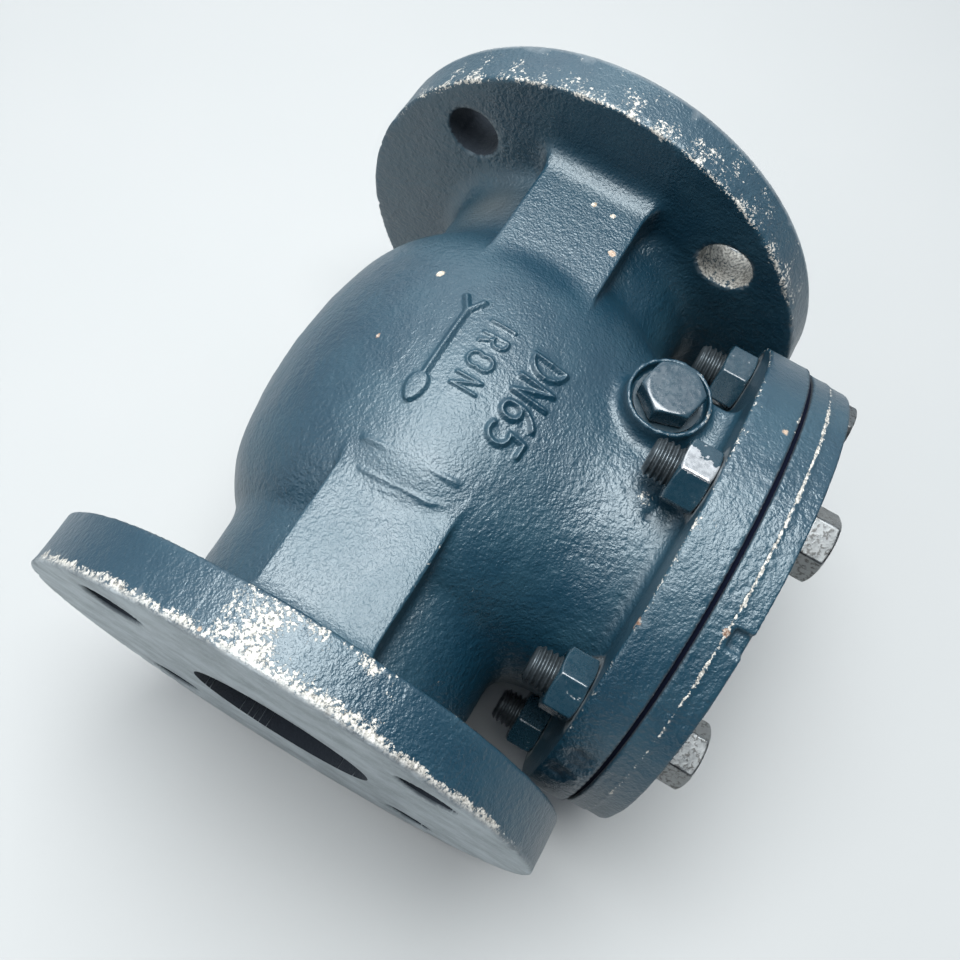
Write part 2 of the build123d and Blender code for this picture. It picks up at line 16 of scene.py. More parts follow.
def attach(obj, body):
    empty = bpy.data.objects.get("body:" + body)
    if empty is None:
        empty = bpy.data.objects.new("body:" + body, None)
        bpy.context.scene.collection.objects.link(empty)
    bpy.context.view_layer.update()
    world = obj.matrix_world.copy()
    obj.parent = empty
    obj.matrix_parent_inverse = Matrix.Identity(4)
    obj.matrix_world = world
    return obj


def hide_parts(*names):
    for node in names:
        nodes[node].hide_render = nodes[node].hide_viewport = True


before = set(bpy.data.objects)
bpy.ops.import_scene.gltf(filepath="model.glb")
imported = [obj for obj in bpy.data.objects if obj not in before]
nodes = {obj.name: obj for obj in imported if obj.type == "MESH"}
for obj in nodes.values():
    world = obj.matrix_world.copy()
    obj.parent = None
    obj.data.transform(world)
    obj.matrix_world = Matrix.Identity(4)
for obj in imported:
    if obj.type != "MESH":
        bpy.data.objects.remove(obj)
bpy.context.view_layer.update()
MM = 0.001

# ---- sizes of the object, as in the CAD model (mm) ------------------------
LENGTH = 216.0
BORE_R = 31.75
FLANGE_R = 88.9
FLANGE_T = 17.5
HOLE_PCD_R = 69.85
HOLE_R = 9.5
NECK_R = 49.0
GLOBE_X = 106.0
GLOBE_R = 68.3
CROWN = (34.0, 64.8)
SHOULDER = (57.0, 53.0)
FOOT = (66.5, 48.8)
PAD_X = (20.5, 195.5)
PAD_Z = 60.0
PAD_HALF_W = 19.0
BONNET_R = 58.0
BONNET_BORE_R = 50.0
JOINT_UNDER_Y = 75.0
JOINT_Y = 89.0
JOINT_R = 84.0
COVER_IN_Y = 90.6
COVER_OUT_Y = 103.6
COVER_R = 82.7
COVER_LINE_Y = 96.7
BOLT_PCD_R = 70.0
BOLT_R = 6.35
BOLT_HOLE_R = 7.1
BOLT_END_Y = 56.5
HEX_AF = 19.05
HEAD_H = 8.2
NUT_H = 10.2
PIN_X = 83.2
PIN_Y = 54.0
BOSS_R = 13.4
BOSS_Z = 66.0
SPOT_R = 11.7
SPOT_Z = 61.8
PLUG_AF = 17.3
PLUG_HEAD_H = 8.2
PLUG_THREAD_R = 7.6
PLUG_SEAT_Z = 62.8
PLUG_HOLE_Z = 56.0
WEB_HALF_W = 8.5
WEB_Z = 61.5
NUT_SPOT_R = 11.4
SEAT_WALL_X = (62.4, 72.0)
SEAT_HOLE_X = (61.5, 73.0)
SEAT_HOLE_R = 36.5
OPENING_LOW_Y = 70.0
LUG_R = 11.0
LUG_Z = (34.0, 53.0)
PIN_HOLE_R = 5.05
PIN_HOLE_Z = (33.0, 57.0)
COVER_STEP = 0.35
COVER_BOSS_R = 46.0
COVER_BOSS_H = 3.0
SPIGOT_R = 49.5
SPIGOT_H = 4.0
DISH_R = 41.0
DISH_DEPTH = 4.0
NICK_DEG = 62.5
ROLL_DEG = 3.2
# radius against x of the two turned spaces on either side of the seat wall
POCKET = ((13.0, BORE_R), (24.0, 37.0), (36.0, 41.0), (50.0, 40.5), (60.0, 36.5), (62.5, 34.2))
CHAMBER = ((SEAT_WALL_X[1], 50.0), (80.0, 57.0), (GLOBE_X, 60.3), (132.0, 57.0))
CHAMBER += ((150.0, 48.5), (164.0, 41.5), (184.0, 36.5), (203.0, BORE_R))


def circle_places(count, first_deg, radius):
    """Where count holes stand on a circle, as pairs measured from its middle."""
    turns = [math.radians(first_deg + 360 // count * i) for i in range(count)]
    return [(radius * math.cos(a), radius * math.sin(a)) for a in turns]


# y and z of the pipe bolts; x past the globe's middle and z of the cover bolts
PIPE_HOLES = circle_places(4, 45, HOLE_PCD_R)
COVER_HOLES = circle_places(6, 30, BOLT_PCD_R)


# ---- signed-distance shapes ------------------------------------------------
def smin(a, b, k):
    """Union with a soft fillet about k wide."""
    h = np.clip(0.5 + 0.5 * (b - a) / k, 0.0, 1.0)
    return b + (a - b) * h - k * h * (1.0 - h)


def smax(a, b, k):
    """Intersection with a soft edge about k wide."""
    return -smin(-a, -b, k)


def rounded(radial, axial, r):
    """Distance to a solid from its radial and axial distances, edges rounded by r."""
    a = radial + r
    b = axial + r
    outside = np.sqrt(np.maximum(a, 0.0) ** 2 + np.maximum(b, 0.0) ** 2)
    return outside + np.minimum(np.maximum(a, b), 0.0) - r


def slab(t, low, high):
    """Distance to the space between two planes."""
    return np.maximum(low - t, t - high)


def rounded_box(x, y, z, low, high, r):
    """Distance to a box with rounded edges."""
    d = [slab(t, lo, hi) + r for t, lo, hi in zip((x, y, z), low, high)]
    outside = np.sqrt(sum(np.maximum(t, 0.0) ** 2 for t in d))
    return outside + np.minimum(np.maximum(np.maximum(d[0], d[1]), d[2]), 0.0) - r


def arc_points(start, tangent, end, count):
    """Points on the arc that leaves start along tangent and ends at end."""
    sx, sy = start
    tx, ty = tangent
    ex, ey = end
    dx, dy = ex - sx, ey - sy
    side = tx * dy - ty * dx
    chord = math.hypot(dx, dy)
    if abs(side) < 1e-9:
        return [(sx + dx * i / count, sy + dy * i / count) for i in range(count + 1)], tangent
    radius = chord * chord / (2.0 * side)
    cx, cy = sx - ty * radius, sy + tx * radius
    a0 = math.atan2(sy - cy, sx - cx)
    a1 = math.atan2(ey - cy, ex - cx)
    turn = (a1 - a0 + math.pi) % (2 * math.pi) - math.pi
    points = []
    for i in range(count + 1):
        a = a0 + turn * i / count
        points.append((cx + abs(radius) * math.cos(a), cy + abs(radius) * math.sin(a)))
    sign = 1.0 if turn > 0 else -1.0
    return points, (-math.sin(a1) * sign, math.cos(a1) * sign)


def globe_table():
    """The globe's radius against the distance from its middle, as two arrays."""
    crown_r = (CROWN[0] ** 2 + (GLOBE_R - CROWN[1]) ** 2) / (2 * (GLOBE_R - CROWN[1]))
    first, tangent = arc_points((0.0, GLOBE_R), (1.0, 0.0), CROWN, 60)
    slope = CROWN[0] / (crown_r - (GLOBE_R - CROWN[1]))
    length = math.hypot(1.0, slope)
    tangent = (1.0 / length, -slope / length)
    second, tangent = arc_points(CROWN, tangent, SHOULDER, 60)
    third, tangent = arc_points(SHOULDER, tangent, FOOT, 40)
    points = np.array(first + second[1:] + third[1:] + [(FOOT[0] + 60.0, FOOT[1] - 3.0)])
    return points[:, 0], points[:, 1]


GLOBE_DX, GLOBE_RR = globe_table()
GLOBE_SLOPE = np.gradient(GLOBE_RR, GLOBE_DX)


def through(points, count=240):
    """A smooth curve through points (Catmull-Rom): x, radius and slope, as arrays."""
    p = np.array([points[0], *points, points[-1]], dtype=float)
    out = []
    for i in range(1, len(p) - 2):
        t = np.linspace(0, 1, count // len(points), endpoint=False)[:, None]
        a, b, c, d = p[i - 1], p[i], p[i + 1], p[i + 2]
        cubic = (3 * b - a - 3 * c + d) * t**3 + (2 * a - 5 * b + 4 * c - d) * t**2
        out.append(0.5 * (cubic + (c - a) * t + 2 * b))
    out.append(p[-1:])
    x, radius = np.concatenate(out).T
    return x, radius, np.gradient(radius, x)


POCKET_CURVE = through(POCKET)
CHAMBER_CURVE = through(CHAMBER)


def tube(x, r, table):
    """Distance to a lathe-turned space whose radius follows a table of x."""
    radius = np.interp(x, table[0], table[1])
    slope = np.interp(x, table[0], table[2])
    return (r - radius) / np.sqrt(1.0 + np.clip(slope, -4, 4) ** 2)


def body_distance(x, y, z):
    """Signed distance to the body casting."""
    r = np.sqrt(y * y + z * z)
    ry = np.sqrt((x - GLOBE_X) ** 2 + z * z)
    rz = np.sqrt((x - PIN_X) ** 2 + (y - PIN_Y) ** 2)
    az = np.abs(z)

    dx = np.abs(x - GLOBE_X)
    globe = (r - np.interp(dx, GLOBE_DX, GLOBE_RR)) / np.sqrt(
        1.0 + np.interp(dx, GLOBE_DX, GLOBE_SLOPE) ** 2
    )
    d = smin(r - NECK_R, globe, 4.0)
    d = np.maximum(d, slab(x, 1.0, LENGTH - 1.0))
    bonnet = np.maximum(ry - BONNET_R, slab(y, 0.0, JOINT_UNDER_Y + 4.0))
    d = smin(d, bonnet, 11.0)
    pads = rounded_box(x, y, az, (PAD_X[0], -PAD_HALF_W, -1.0), (PAD_X[1], PAD_HALF_W, PAD_Z), 0.7)
    d = smin(d, pads, 2.0)
    joint = rounded(ry - JOINT_R, slab(y, JOINT_UNDER_Y, JOINT_Y), 0.45)
    d = smin(d, joint, 4.5)
    web_low = (PIN_X - WEB_HALF_W, PIN_Y, -1.0)
    web_high = (PIN_X + WEB_HALF_W, JOINT_UNDER_Y + 2, WEB_Z)
    web = rounded_box(x, y, az, web_low, web_high, 1.5)
    boss = rounded(rz - BOSS_R, az - BOSS_Z, 0.55)
    d = smin(d, smin(boss, web, 3.0), 5.0)
    for low, high in ((0.0, FLANGE_T), (LENGTH - FLANGE_T, LENGTH)):
        d = smin(d, rounded(r - FLANGE_R, slab(x, low, high), 0.9), 9.5)

    # spot faces under the nuts, and the plugs' spot faces
    for hx, hz in COVER_HOLES:
        rh = np.sqrt((x - (GLOBE_X + hx)) ** 2 + (z - hz) ** 2)
        room = slab(y, JOINT_UNDER_Y - NUT_H - 2, JOINT_UNDER_Y)
        d = smax(d, -rounded(rh - NUT_SPOT_R, room, 0.3), 0.6)
        d = np.maximum(d, -np.maximum(rh - BOLT_HOLE_R, slab(y, JOINT_UNDER_Y - 1, JOINT_Y + 1)))
    d = smax(d, -np.maximum(rz - SPOT_R, SPOT_Z - az), 0.5)

    # the liquid's way, the seat hole and the bonnet's opening
    pocket = np.maximum(tube(x, r, POCKET_CURVE), x - SEAT_WALL_X[0])
    seat_hole = np.maximum(r - SEAT_HOLE_R, slab(x, *SEAT_HOLE_X))
    chamber = np.maximum(tube(x, r, CHAMBER_CURVE), SEAT_WALL_X[1] - x)
    opening = np.maximum(ry - BONNET_BORE_R, slab(y, 0.0, JOINT_Y + 3))
    opening = np.maximum(opening, -np.maximum(x - SEAT_WALL_X[1], y - OPENING_LOW_Y))
    space = smin(chamber, opening, 2.5)
    lugs = np.maximum(rz - LUG_R, slab(az, *LUG_Z))
    space = smax(space, -lugs, 2.0)
    space = np.minimum(np.minimum(space, pocket), seat_hole)
    d = np.maximum(d, -space)
    d = np.maximum(d, -np.maximum(rz - PIN_HOLE_R, slab(az, *PIN_HOLE_Z)))
    d = np.maximum(d, -np.maximum(rz - PLUG_THREAD_R, PLUG_HOLE_Z - az))

    # pipe-bolt holes, with a small chamfer at each mouth
    for hy, hz in PIPE_HOLES:
        rh = np.sqrt((y - hy) ** 2 + (z - hz) ** 2)
        near_end = np.minimum(x, LENGTH - x)
        mouth = np.minimum(np.abs(near_end), np.abs(near_end - FLANGE_T))
        widen = np.maximum(0.0, 0.5 - mouth)
        d = np.maximum(d, -np.maximum(rh - HOLE_R - widen, near_end - FLANGE_T - 9.0))
    return d


def cover_distance(x, y, z):
    """Signed distance to the cover casting."""
    ry = np.sqrt((x - GLOBE_X) ** 2 + z * z)
    step = np.where(y > COVER_LINE_Y, COVER_STEP, 0.0)
    plate = rounded(ry - COVER_R + step, slab(y, COVER_IN_Y, COVER_OUT_Y), 0.5)
    boss = rounded(ry - COVER_BOSS_R, slab(y, COVER_OUT_Y - 4, COVER_OUT_Y + COVER_BOSS_H), 1.5)
    d = smin(plate, boss, 2.5)
    # flash along the parting line
    flash = np.sqrt((y - COVER_LINE_Y) ** 2 + (ry - COVER_R + 0.3) ** 2) - 0.55
    d = smin(d, flash, 0.9)
    spigot = np.maximum(ry - SPIGOT_R, slab(y, COVER_IN_Y - SPIGOT_H, COVER_IN_Y + 2))
    d = np.minimum(d, spigot)
    dish = np.maximum(ry - DISH_R, slab(y, COVER_IN_Y - 2 * SPIGOT_H, COVER_IN_Y + DISH_DEPTH))
    d = smax(d, -dish, 1.5)
    for hx, hz in COVER_HOLES:
        rh = np.sqrt((x - (GLOBE_X + hx)) ** 2 + (z - hz) ** 2)
        d = np.maximum(d, -(rh - BOLT_HOLE_R))
    # the nick in the rim
    a = math.radians(NICK_DEG)
    nx, nz = GLOBE_X + COVER_R * math.cos(a), COVER_R * math.sin(a)
    u = (x - nx) * math.cos(a) + (z - nz) * math.sin(a)
    v = -(x - nx) * math.sin(a) + (z - nz) * math.cos(a)
    nick = rounded_box(u, y, v, (-2.2, COVER_LINE_Y + 1.6, -3.0), (3.0, COVER_OUT_Y + 3.0, 3.0), 1.0)
    return smax(d, -nick, 1.2)


# ---- polygonising ----------------------------------------------------------
def surface_net(distance, low, high, step):
    """Quads on the zero surface of a distance function, as vertices and faces."""
    axes = [
        np.arange(lo - 2.5 * step, hi + 3.5 * step, step, dtype=np.float32)
        for lo, hi in zip(low, high)
    ]
    shape = tuple(len(a) for a in axes)
    value = np.empty(shape, dtype=np.float32)
    chunk = 16
    for i in range(0, shape[0], chunk):
        gx, gy, gz = np.meshgrid(axes[0][i : i + chunk], axes[1], axes[2], indexing="ij")
        value[i : i + chunk] = distance(gx, gy, gz)
    inside = value < 0
    for axis in range(3):
        ends = np.moveaxis(inside, axis, 0)
        ends[0] = ends[-1] = False
    count = np.zeros(tuple(n - 1 for n in shape), dtype=np.int8)
    for i, j, k in np.ndindex(2, 2, 2):
        count += inside[i : shape[0] - 1 + i, j : shape[1] - 1 + j, k : shape[2] - 1 + k]
    cells = np.argwhere((count > 0) & (count < 8))
    index = np.full(count.shape, -1, dtype=np.int32)
    index[tuple(cells.T)] = np.arange(len(cells), dtype=np.int32)
    total = np.zeros((len(cells), 3))
    hits = np.zeros(len(cells))
    for axis in range(3):
        others = [a for a in range(3) if a != axis]
        for p, q in np.ndindex(2, 2):
            start = cells.copy()
            start[:, others[0]] += p
            start[:, others[1]] += q
            end = start.copy()
            end[:, axis] += 1
            a = value[tuple(start.T)]
            b = value[tuple(end.T)]
            crossing = (a < 0) != (b < 0)
            t = np.where(crossing, a / np.where(crossing, a - b, 1.0), 0.0)
            point = start.astype(float)
            point[:, axis] += t
            total[crossing] += point[crossing]
            hits[crossing] += 1
    vertices = total / hits[:, None] * step + np.array([a[0] for a in axes])
    faces = []
    for axis in range(3):
        u, v = [(1, 2), (2, 0), (0, 1)][axis]
        lower = [slice(None)] * 3
        upper = [slice(None)] * 3
        lower[axis] = slice(0, shape[axis] - 1)
        upper[axis] = slice(1, shape[axis])
        flip = inside[tuple(lower)] != inside[tuple(upper)]
        edges = np.argwhere(flip)
        edges = edges[(edges[:, u] > 0) & (edges[:, v] > 0)]
        starts_inside = inside[tuple(edges.T)]
        quad = []
        for du, dv in ((-1, -1), (0, -1), (0, 0), (-1, 0)):
            cell = edges.copy()
            cell[:, u] += du
            cell[:, v] += dv
            quad.append(index[tuple(cell.T)])
        quad = np.stack(quad, axis=1)
        quad[~starts_inside] = quad[~starts_inside][:, ::-1]
        faces.append(quad)
    faces = np.concatenate(faces)
    return vertices, faces[(faces >= 0).all(axis=1)]


def gradient(distance, p, h=0.05):
    """Distance and its gradient at points."""
    x, y, z = p.T
    d = distance(x, y, z)
    g = np.stack(
        [
            distance(x + h, y, z) - distance(x - h, y, z),
            distance(x, y + h, z) - distance(x, y - h, z),
            distance(x, y, z + h) - distance(x, y, z - h),
        ],
        axis=1,
    ) / (2 * h)
    return d, g


def normals_at(distance, p, h):
    """A shape's unit normals at points."""
    _, g = gradient(distance, p, h)
    return g / np.maximum(np.linalg.norm(g, axis=1), 1e-6)[:, None]


def settle(distance, vertices, rounds=2):
    """Move vertices onto the zero surface."""
    p = vertices.astype(float)
    for _ in range(rounds):
        d, g = gradient(distance, p)
        length = np.maximum((g * g).sum(axis=1), 0.25)
        p -= np.clip(d / length, -0.6, 0.6)[:, None] * g
    return p


def lattice_noise(p, seed):
    """Smooth value noise from -1 to 1 at points, one cell per unit."""
    cell = np.floor(p).astype(np.int64)
    f = p - cell
    f = f * f * f * (f * (f * 6 - 15) + 10)
    out = np.zeros(len(p))
    for i, j, k in np.ndindex(2, 2, 2):
        n = (cell[:, 0] + i) * 374761393 + (cell[:, 1] + j) * 668265263
        n = (n + (cell[:, 2] + k) * 2147483647 + seed * 1274126177) & 0x7FFFFFFF
        n = (n ^ (n >> 13)) * 1274126177 & 0x7FFFFFFF
        n = (n ^ (n >> 16)) & 0xFFFF
        w = (f[:, 0] if i else 1 - f[:, 0]) * (f[:, 1] if j else 1 - f[:, 1])
        out += (n / 32767.5 - 1.0) * w * (f[:, 2] if k else 1 - f[:, 2])
    return out


def step01(t, low, high):
    """Smooth step from 0 at low to 1 at high."""
    s = np.clip((t - low) / (high - low), 0.0, 1.0)
    return s * s * (3 - 2 * s)


def make_mesh(name, vertices, faces):
    """A mesh object from millimetre vertices and an index array of faces."""
    mesh = bpy.data.meshes.new(name)
    faces = np.asarray(faces)
    mesh.vertices.add(len(vertices))
    mesh.vertices.foreach_set("co", (np.asarray(vertices, dtype=np.float32) * MM).ravel())
    mesh.loops.add(faces.size)
    mesh.loops.foreach_set("vertex_index", faces.astype(np.int32).ravel())
    mesh.polygons.add(len(faces))
    mesh.polygons.foreach_set("loop_start", np.arange(0, faces.size, faces.shape[1], dtype=np.int32))
    mesh.update(calc_edges=True)
    mesh.validate()
    mesh.polygons.foreach_set("use_smooth", [True] * len(mesh.polygons))
    obj = bpy.data.objects.new(name, mesh)
    bpy.context.scene.collection.objects.link(obj)
    return obj


def refine(obj, inside, rounds):
    """Split the faces whose middles are inside a region, rounds times."""
    bm = bmesh.new()
    bm.from_mesh(obj.data)
    for _ in range(rounds):
        chosen = [f for f in bm.faces if inside(*(f.calc_center_median() / MM))]
        edges = list({e for f in chosen for e in f.edges})
        bmesh.ops.subdivide_edges(bm, edges=edges, cuts=1, use_grid_fill=True)
    bmesh.ops.triangulate(bm, faces=[f for f in bm.faces if len(f.verts) > 4])
    bm.to_mesh(obj.data)
    bm.free()


def points_of(obj):
    """The object's vertices in mm."""
    co = np.empty(len(obj.data.vertices) * 3, dtype=np.float32)
    obj.data.vertices.foreach_get("co", co)
    return co.reshape(-1, 3).astype(float) / MM


def set_points(obj, p):
    """Put the object's vertices at points given in mm."""
    obj.data.vertices.foreach_set("co", (p * MM).astype(np.float32).ravel())
    obj.data.update()


def thin_out(obj, triangles):
    """Collapse edges on the flatter stretches until about this many triangles are left."""
    have = sum(len(p.vertices) - 2 for p in obj.data.polygons)
    if have <= triangles:
        return
    modifier = obj.modifiers.new("thin", "DECIMATE")
    modifier.ratio = triangles / have
    graph = bpy.context.evaluated_depsgraph_get()
    mesh = bpy.data.meshes.new_from_object(obj.evaluated_get(graph))
    obj.modifiers.clear()
    old = obj.data
    obj.data = mesh
    bpy.data.meshes.remove(old)
    obj.data.polygons.foreach_set("use_smooth", [True] * len(obj.data.polygons))


def set_attribute(obj, name, values):
    """A value per vertex that the material reads."""
    attribute = obj.data.attributes.new(name, "FLOAT", "POINT")
    attribute.data.foreach_set("value", np.clip(values, 0.0, 1.0).astype(np.float32))


def sharpness(distance, p, reach):
    """How convex the surface is within reach, from -1 in a corner to 1 on an edge."""
    x, y, z = p.T
    total = 0.0
    for d in (-reach, reach):
        total = total + distance(x + d, y, z) + distance(x, y + d, z) + distance(x, y, z + d)
    return total / 6.0 / reach * 2.0


# ---- raised marks ----------------------------------------------------------
MARK_H = 1.3
LETTERS = {
    "D": [((0, 0), (0, 1)), ((0, 1), (0.5, 0.5), (0, 0))],
    "N": [((0, 0), (0, 1)), ((0, 1), (0.5, 0)), ((0.5, 0), (0.5, 1))],
    "6": [
        ((0.02, 0.27), (0.24, 0.53), (0.46, 0.27)),
        ((0.02, 0.27), (0.24, 0.0), (0.46, 0.27)),
        ((0.02, 0.27), (0.11, 0.74), (0.4, 1)),
    ],
    "5": [
        ((0.44, 1), (0.08, 1)),
        ((0.08, 1), (0.05, 0.56)),
        ((0.05, 0.56), (0.48, 0.31), (0.02, 0.04)),
    ],
    "I": [((0.05, 0), (0.05, 1))],
    "R": [((0, 0), (0, 1)), ((0, 1), (0.42, 0.76), (0, 0.5)), ((0.16, 0.5), (0.44, 0))],
    "O": [((0, 0.5), (0.26, 1), (0.52, 0.5)), ((0, 0.5), (0.26, 0), (0.52, 0.5))],
}
LETTER_WIDTHS = {"D": 0.5, "N": 0.5, "6": 0.46, "5": 0.46, "I": 0.1, "R": 0.44, "O": 0.52}
WORDS = (("DN65", (93.5, 13.2), 11.0, 2.3, 3.3), ("IRON", (91.0, -3.0), 8.0, 1.4, 4.2))
ARROW_Y = -11.0
ARROW_HALF_W = 1.3


def arc_through(a, b, c, count=12):
    """Points on the circle arc from a by b to c."""
    a, b, c = (np.array(t, dtype=float) for t in (a, b, c))
    m = np.array([b - a, c - a]) * 2.0
    rhs = np.array([b @ b - a @ a, c @ c - a @ a])
    centre = np.linalg.solve(m, rhs)
    angles = [math.atan2(*(t - centre)[::-1]) for t in (a, b, c)]
    while angles[1] < angles[0]:
        angles[1] += 2 * math.pi
    while angles[2] < angles[0]:
        angles[2] += 2 * math.pi
    if angles[1] > angles[2]:
        angles[2] -= 2 * math.pi
    radius = np.linalg.norm(a - centre)
    turn = np.linspace(angles[0], angles[2], count + 1)
    return [centre + radius * np.array([math.cos(t), math.sin(t)]) for t in turn]


def mark_strokes():
    """(start, end, half width) of every straight bit of a raised stroke, in x and y."""
    bits = []
    for text, (x0, y0), height, stroke, gap in WORDS:
        for letter in text:
            for points in LETTERS[letter]:
                placed = [(x0 + u * height, y0 + v * height) for u, v in points]
                line = placed if len(placed) == 2 else arc_through(*placed)
                bits += [(a, b, stroke / 2) for a, b in zip(line[:-1], line[1:])]
            x0 += LETTER_WIDTHS[letter] * height + gap
    for start, end in (
        ((92.0, ARROW_Y), (118.5, ARROW_Y)),
        ((87.0, ARROW_Y + 3.0), (92.0, ARROW_Y)),
        ((87.0, ARROW_Y - 3.0), (92.0, ARROW_Y)),
    ):
        bits.append((start, end, ARROW_HALF_W))
    return bits


def mark_depth(x, y):
    """How far inside a raised mark's outline each point lies, in mm; below 0 outside."""
    depth = np.full(len(x), -9.0)
    for (ax, ay), (bx, by), half in mark_strokes():
        ux, uy = bx - ax, by - ay
        t = np.clip(((x - ax) * ux + (y - ay) * uy) / (ux * ux + uy * uy), 0, 1)
        gap = np.hypot(x - ax - t * ux, y - ay - t * uy)
        depth = np.maximum(depth, half - gap)
    along = np.clip((x - 117.0) / 10.5, 0.0, 1.0)
    leaf = 3.5 * np.sqrt(np.maximum(np.sin(np.pi * along**0.8), 0.0)) - np.abs(y - ARROW_Y)
    leaf = np.where((x > 117.0) & (x < 127.5), leaf, -9.0)
    return np.maximum(depth, leaf)


# ---- the casting -----------------------------------------------------------
def cast_skin(p):
    """1 where the body keeps its cast skin, 0 where it is machined."""
    x, y, z = p.T
    r = np.hypot(y, z)
    ry = np.hypot(x - GLOBE_X, z)
    skin = step01(np.minimum(x, LENGTH - x), 0.3, 1.6)
    skin *= np.where(ry < JOINT_R + 1.0, step01(JOINT_Y - y, 0.1, 0.5), 1.0)
    skin *= step01(r, BORE_R + 0.3, BORE_R + 1.2)
    for hy, hz in PIPE_HOLES:
        rh = np.hypot(y - hy, z - hz)
        near = np.minimum(x, LENGTH - x) < FLANGE_T + 2
        skin = np.where(near, skin * step01(rh, HOLE_R + 0.1, HOLE_R + 1.2), skin)
    for hx, hz in COVER_HOLES:
        rh = np.hypot(x - GLOBE_X - hx, z - hz)
        near = (y > JOINT_UNDER_Y - 3) & (ry > BONNET_R)
        skin = np.where(near, skin * step01(rh, NUT_SPOT_R + 0.2, NUT_SPOT_R + 1.2), skin)
    return np.where((ry < BONNET_BORE_R + 1.5) & (y > JOINT_UNDER_Y), 0.0, skin)


def bump_at(p, centre, radius, height):
    """Height of a rounded lump of cast iron around a point."""
    d = np.linalg.norm((p - np.array(centre)) / np.array(radius), axis=1)
    return height * step01(1.0 - d, 0.0, 1.0)


def ridge_at(p, start, end, width, height):
    """Height of a thin ridge between two points."""
    a, b = np.array(start, dtype=float), np.array(end, dtype=float)
    t = np.clip((p - a) @ (b - a) / ((b - a) @ (b - a)), 0, 1)
    d = np.linalg.norm(p - a - t[:, None] * (b - a), axis=1)
    fade = np.sqrt(np.clip(4 * t * (1 - t), 0.0, 1.0))
    return height * step01(1.0 - d / width, 0.0, 1.0) * fade


def roughen(p, normals, skin, seed, calm=1.0):
    """Push cast surfaces in and out as sand casting does, less where calm is low."""
    height = 0.22 * lattice_noise(p / 27.0, seed)
    height += 0.11 * calm * lattice_noise(p / 9.0, seed + 1)
    height += 0.06 * calm * lattice_noise(p / 3.6, seed + 2)
    return p + normals * (skin * (height - 0.12))[:, None]


# raised lines left by the mould on the marked side: start, end, width, height
RIDGES = (
    ((141.9, -17.0, 62.5), (140.5, 15.0, 63.2), 1.7, 1.25),
    ((150.0, -12.5, 60.3), (148.7, 12.0, 61.0), 1.5, 1.0),
    ((152.8, -6.1, 60.0), (150.5, 6.0, 60.5), 1.2, 0.4),
    ((150.5, 6.0, 60.5), (146.6, 15.3, 61.0), 1.2, 0.4),
    ((89.0, 27.3, 61.9), (118.0, 26.2, 62.7), 1.2, 0.6),
)
# lumps and a dent: centre, radius along each axis, height
LUMPS = (
    ((113.0, 62.5, 57.5), (4.2, 4.8, 3.0), 1.3),
    ((117.0, 65.5, 57.0), (2.6, 2.4, 3.0), -0.9),
    ((143.0, 19.5, 58.5), (3.2, 2.6, 4.0), 0.8),
)


def on_pad(p):
    """Where the flat pad of the marked side is."""
    return (np.abs(p[:, 1]) < PAD_HALF_W) & (p[:, 2] > PAD_Z - 1.0)


def raised(p):
    """How far the marks, the mould's lines and the lumps stand out."""
    x, y, z = p.T
    lift = MARK_H * step01(mark_depth(x, y), -0.4, 1.3) * (z > 50) * (np.hypot(y, z) < 72)
    for start, end, width, height in RIDGES:
        lift += ridge_at(p, start, end, width, height)
    for centre, radius, height in LUMPS:
        lift += bump_at(p, centre, radius, height)
    return lift


def knock_about(p, n):
    """Add, in place, the ragged lip at the plug, the joint flange's tears and the rims' chips."""
    x, y, z = p.T
    from_pin = np.hypot(x - PIN_X, y - PIN_Y)
    lip = step01(np.abs(z), BOSS_Z - 1.6, BOSS_Z - 0.4) * step01(BOSS_R + 0.6 - from_pin, 0.0, 0.5)
    p += n * (lip * (0.38 * lattice_noise(p / 1.7, 91) - 0.12))[:, None]
    tear = bump_at(p, (184.0, 83.0, 31.0), (7.0, 6.5, 8.0), 1.0)
    tear = np.maximum(tear, bump_at(p, (187.0, 80.0, 19.0), (5.0, 6.5, 8.0), 0.9))
    rag = 0.5 + 0.5 * lattice_noise(p / 1.9, 77)
    p -= n * (tear * (0.5 + 1.6 * rag) * (y < 88.0))[:, None]
    near_rim = step01(np.hypot(y, z), FLANGE_R - 3.0, FLANGE_R - 0.8)
    edge = step01(x, LENGTH - 3.0, LENGTH - 0.6) * near_rim
    edge += step01(FLANGE_T + 0.8 - x, 0.0, 1.2) * step01(x, FLANGE_T - 3.0, FLANGE_T - 0.8) * near_rim
    chip = step01(lattice_noise(p / 3.1, 31), 0.28, 0.7) * edge
    p -= n * (chip * 0.55)[:, None]


def keep_inside(p):
    """Pull back, in place, what stands out past the flanges' faces or rims."""
    p[:, 0] = np.clip(p[:, 0], 0.0, LENGTH)
    pull = np.minimum(1.0, (FLANGE_R - 0.02) / np.maximum(np.hypot(p[:, 1], p[:, 2]), 1.0))
    on_flange = np.minimum(p[:, 0], LENGTH - p[:, 0]) < FLANGE_T + 1.0
    p[:, 1:] *= np.where(on_flange, pull, 1.0)[:, None]


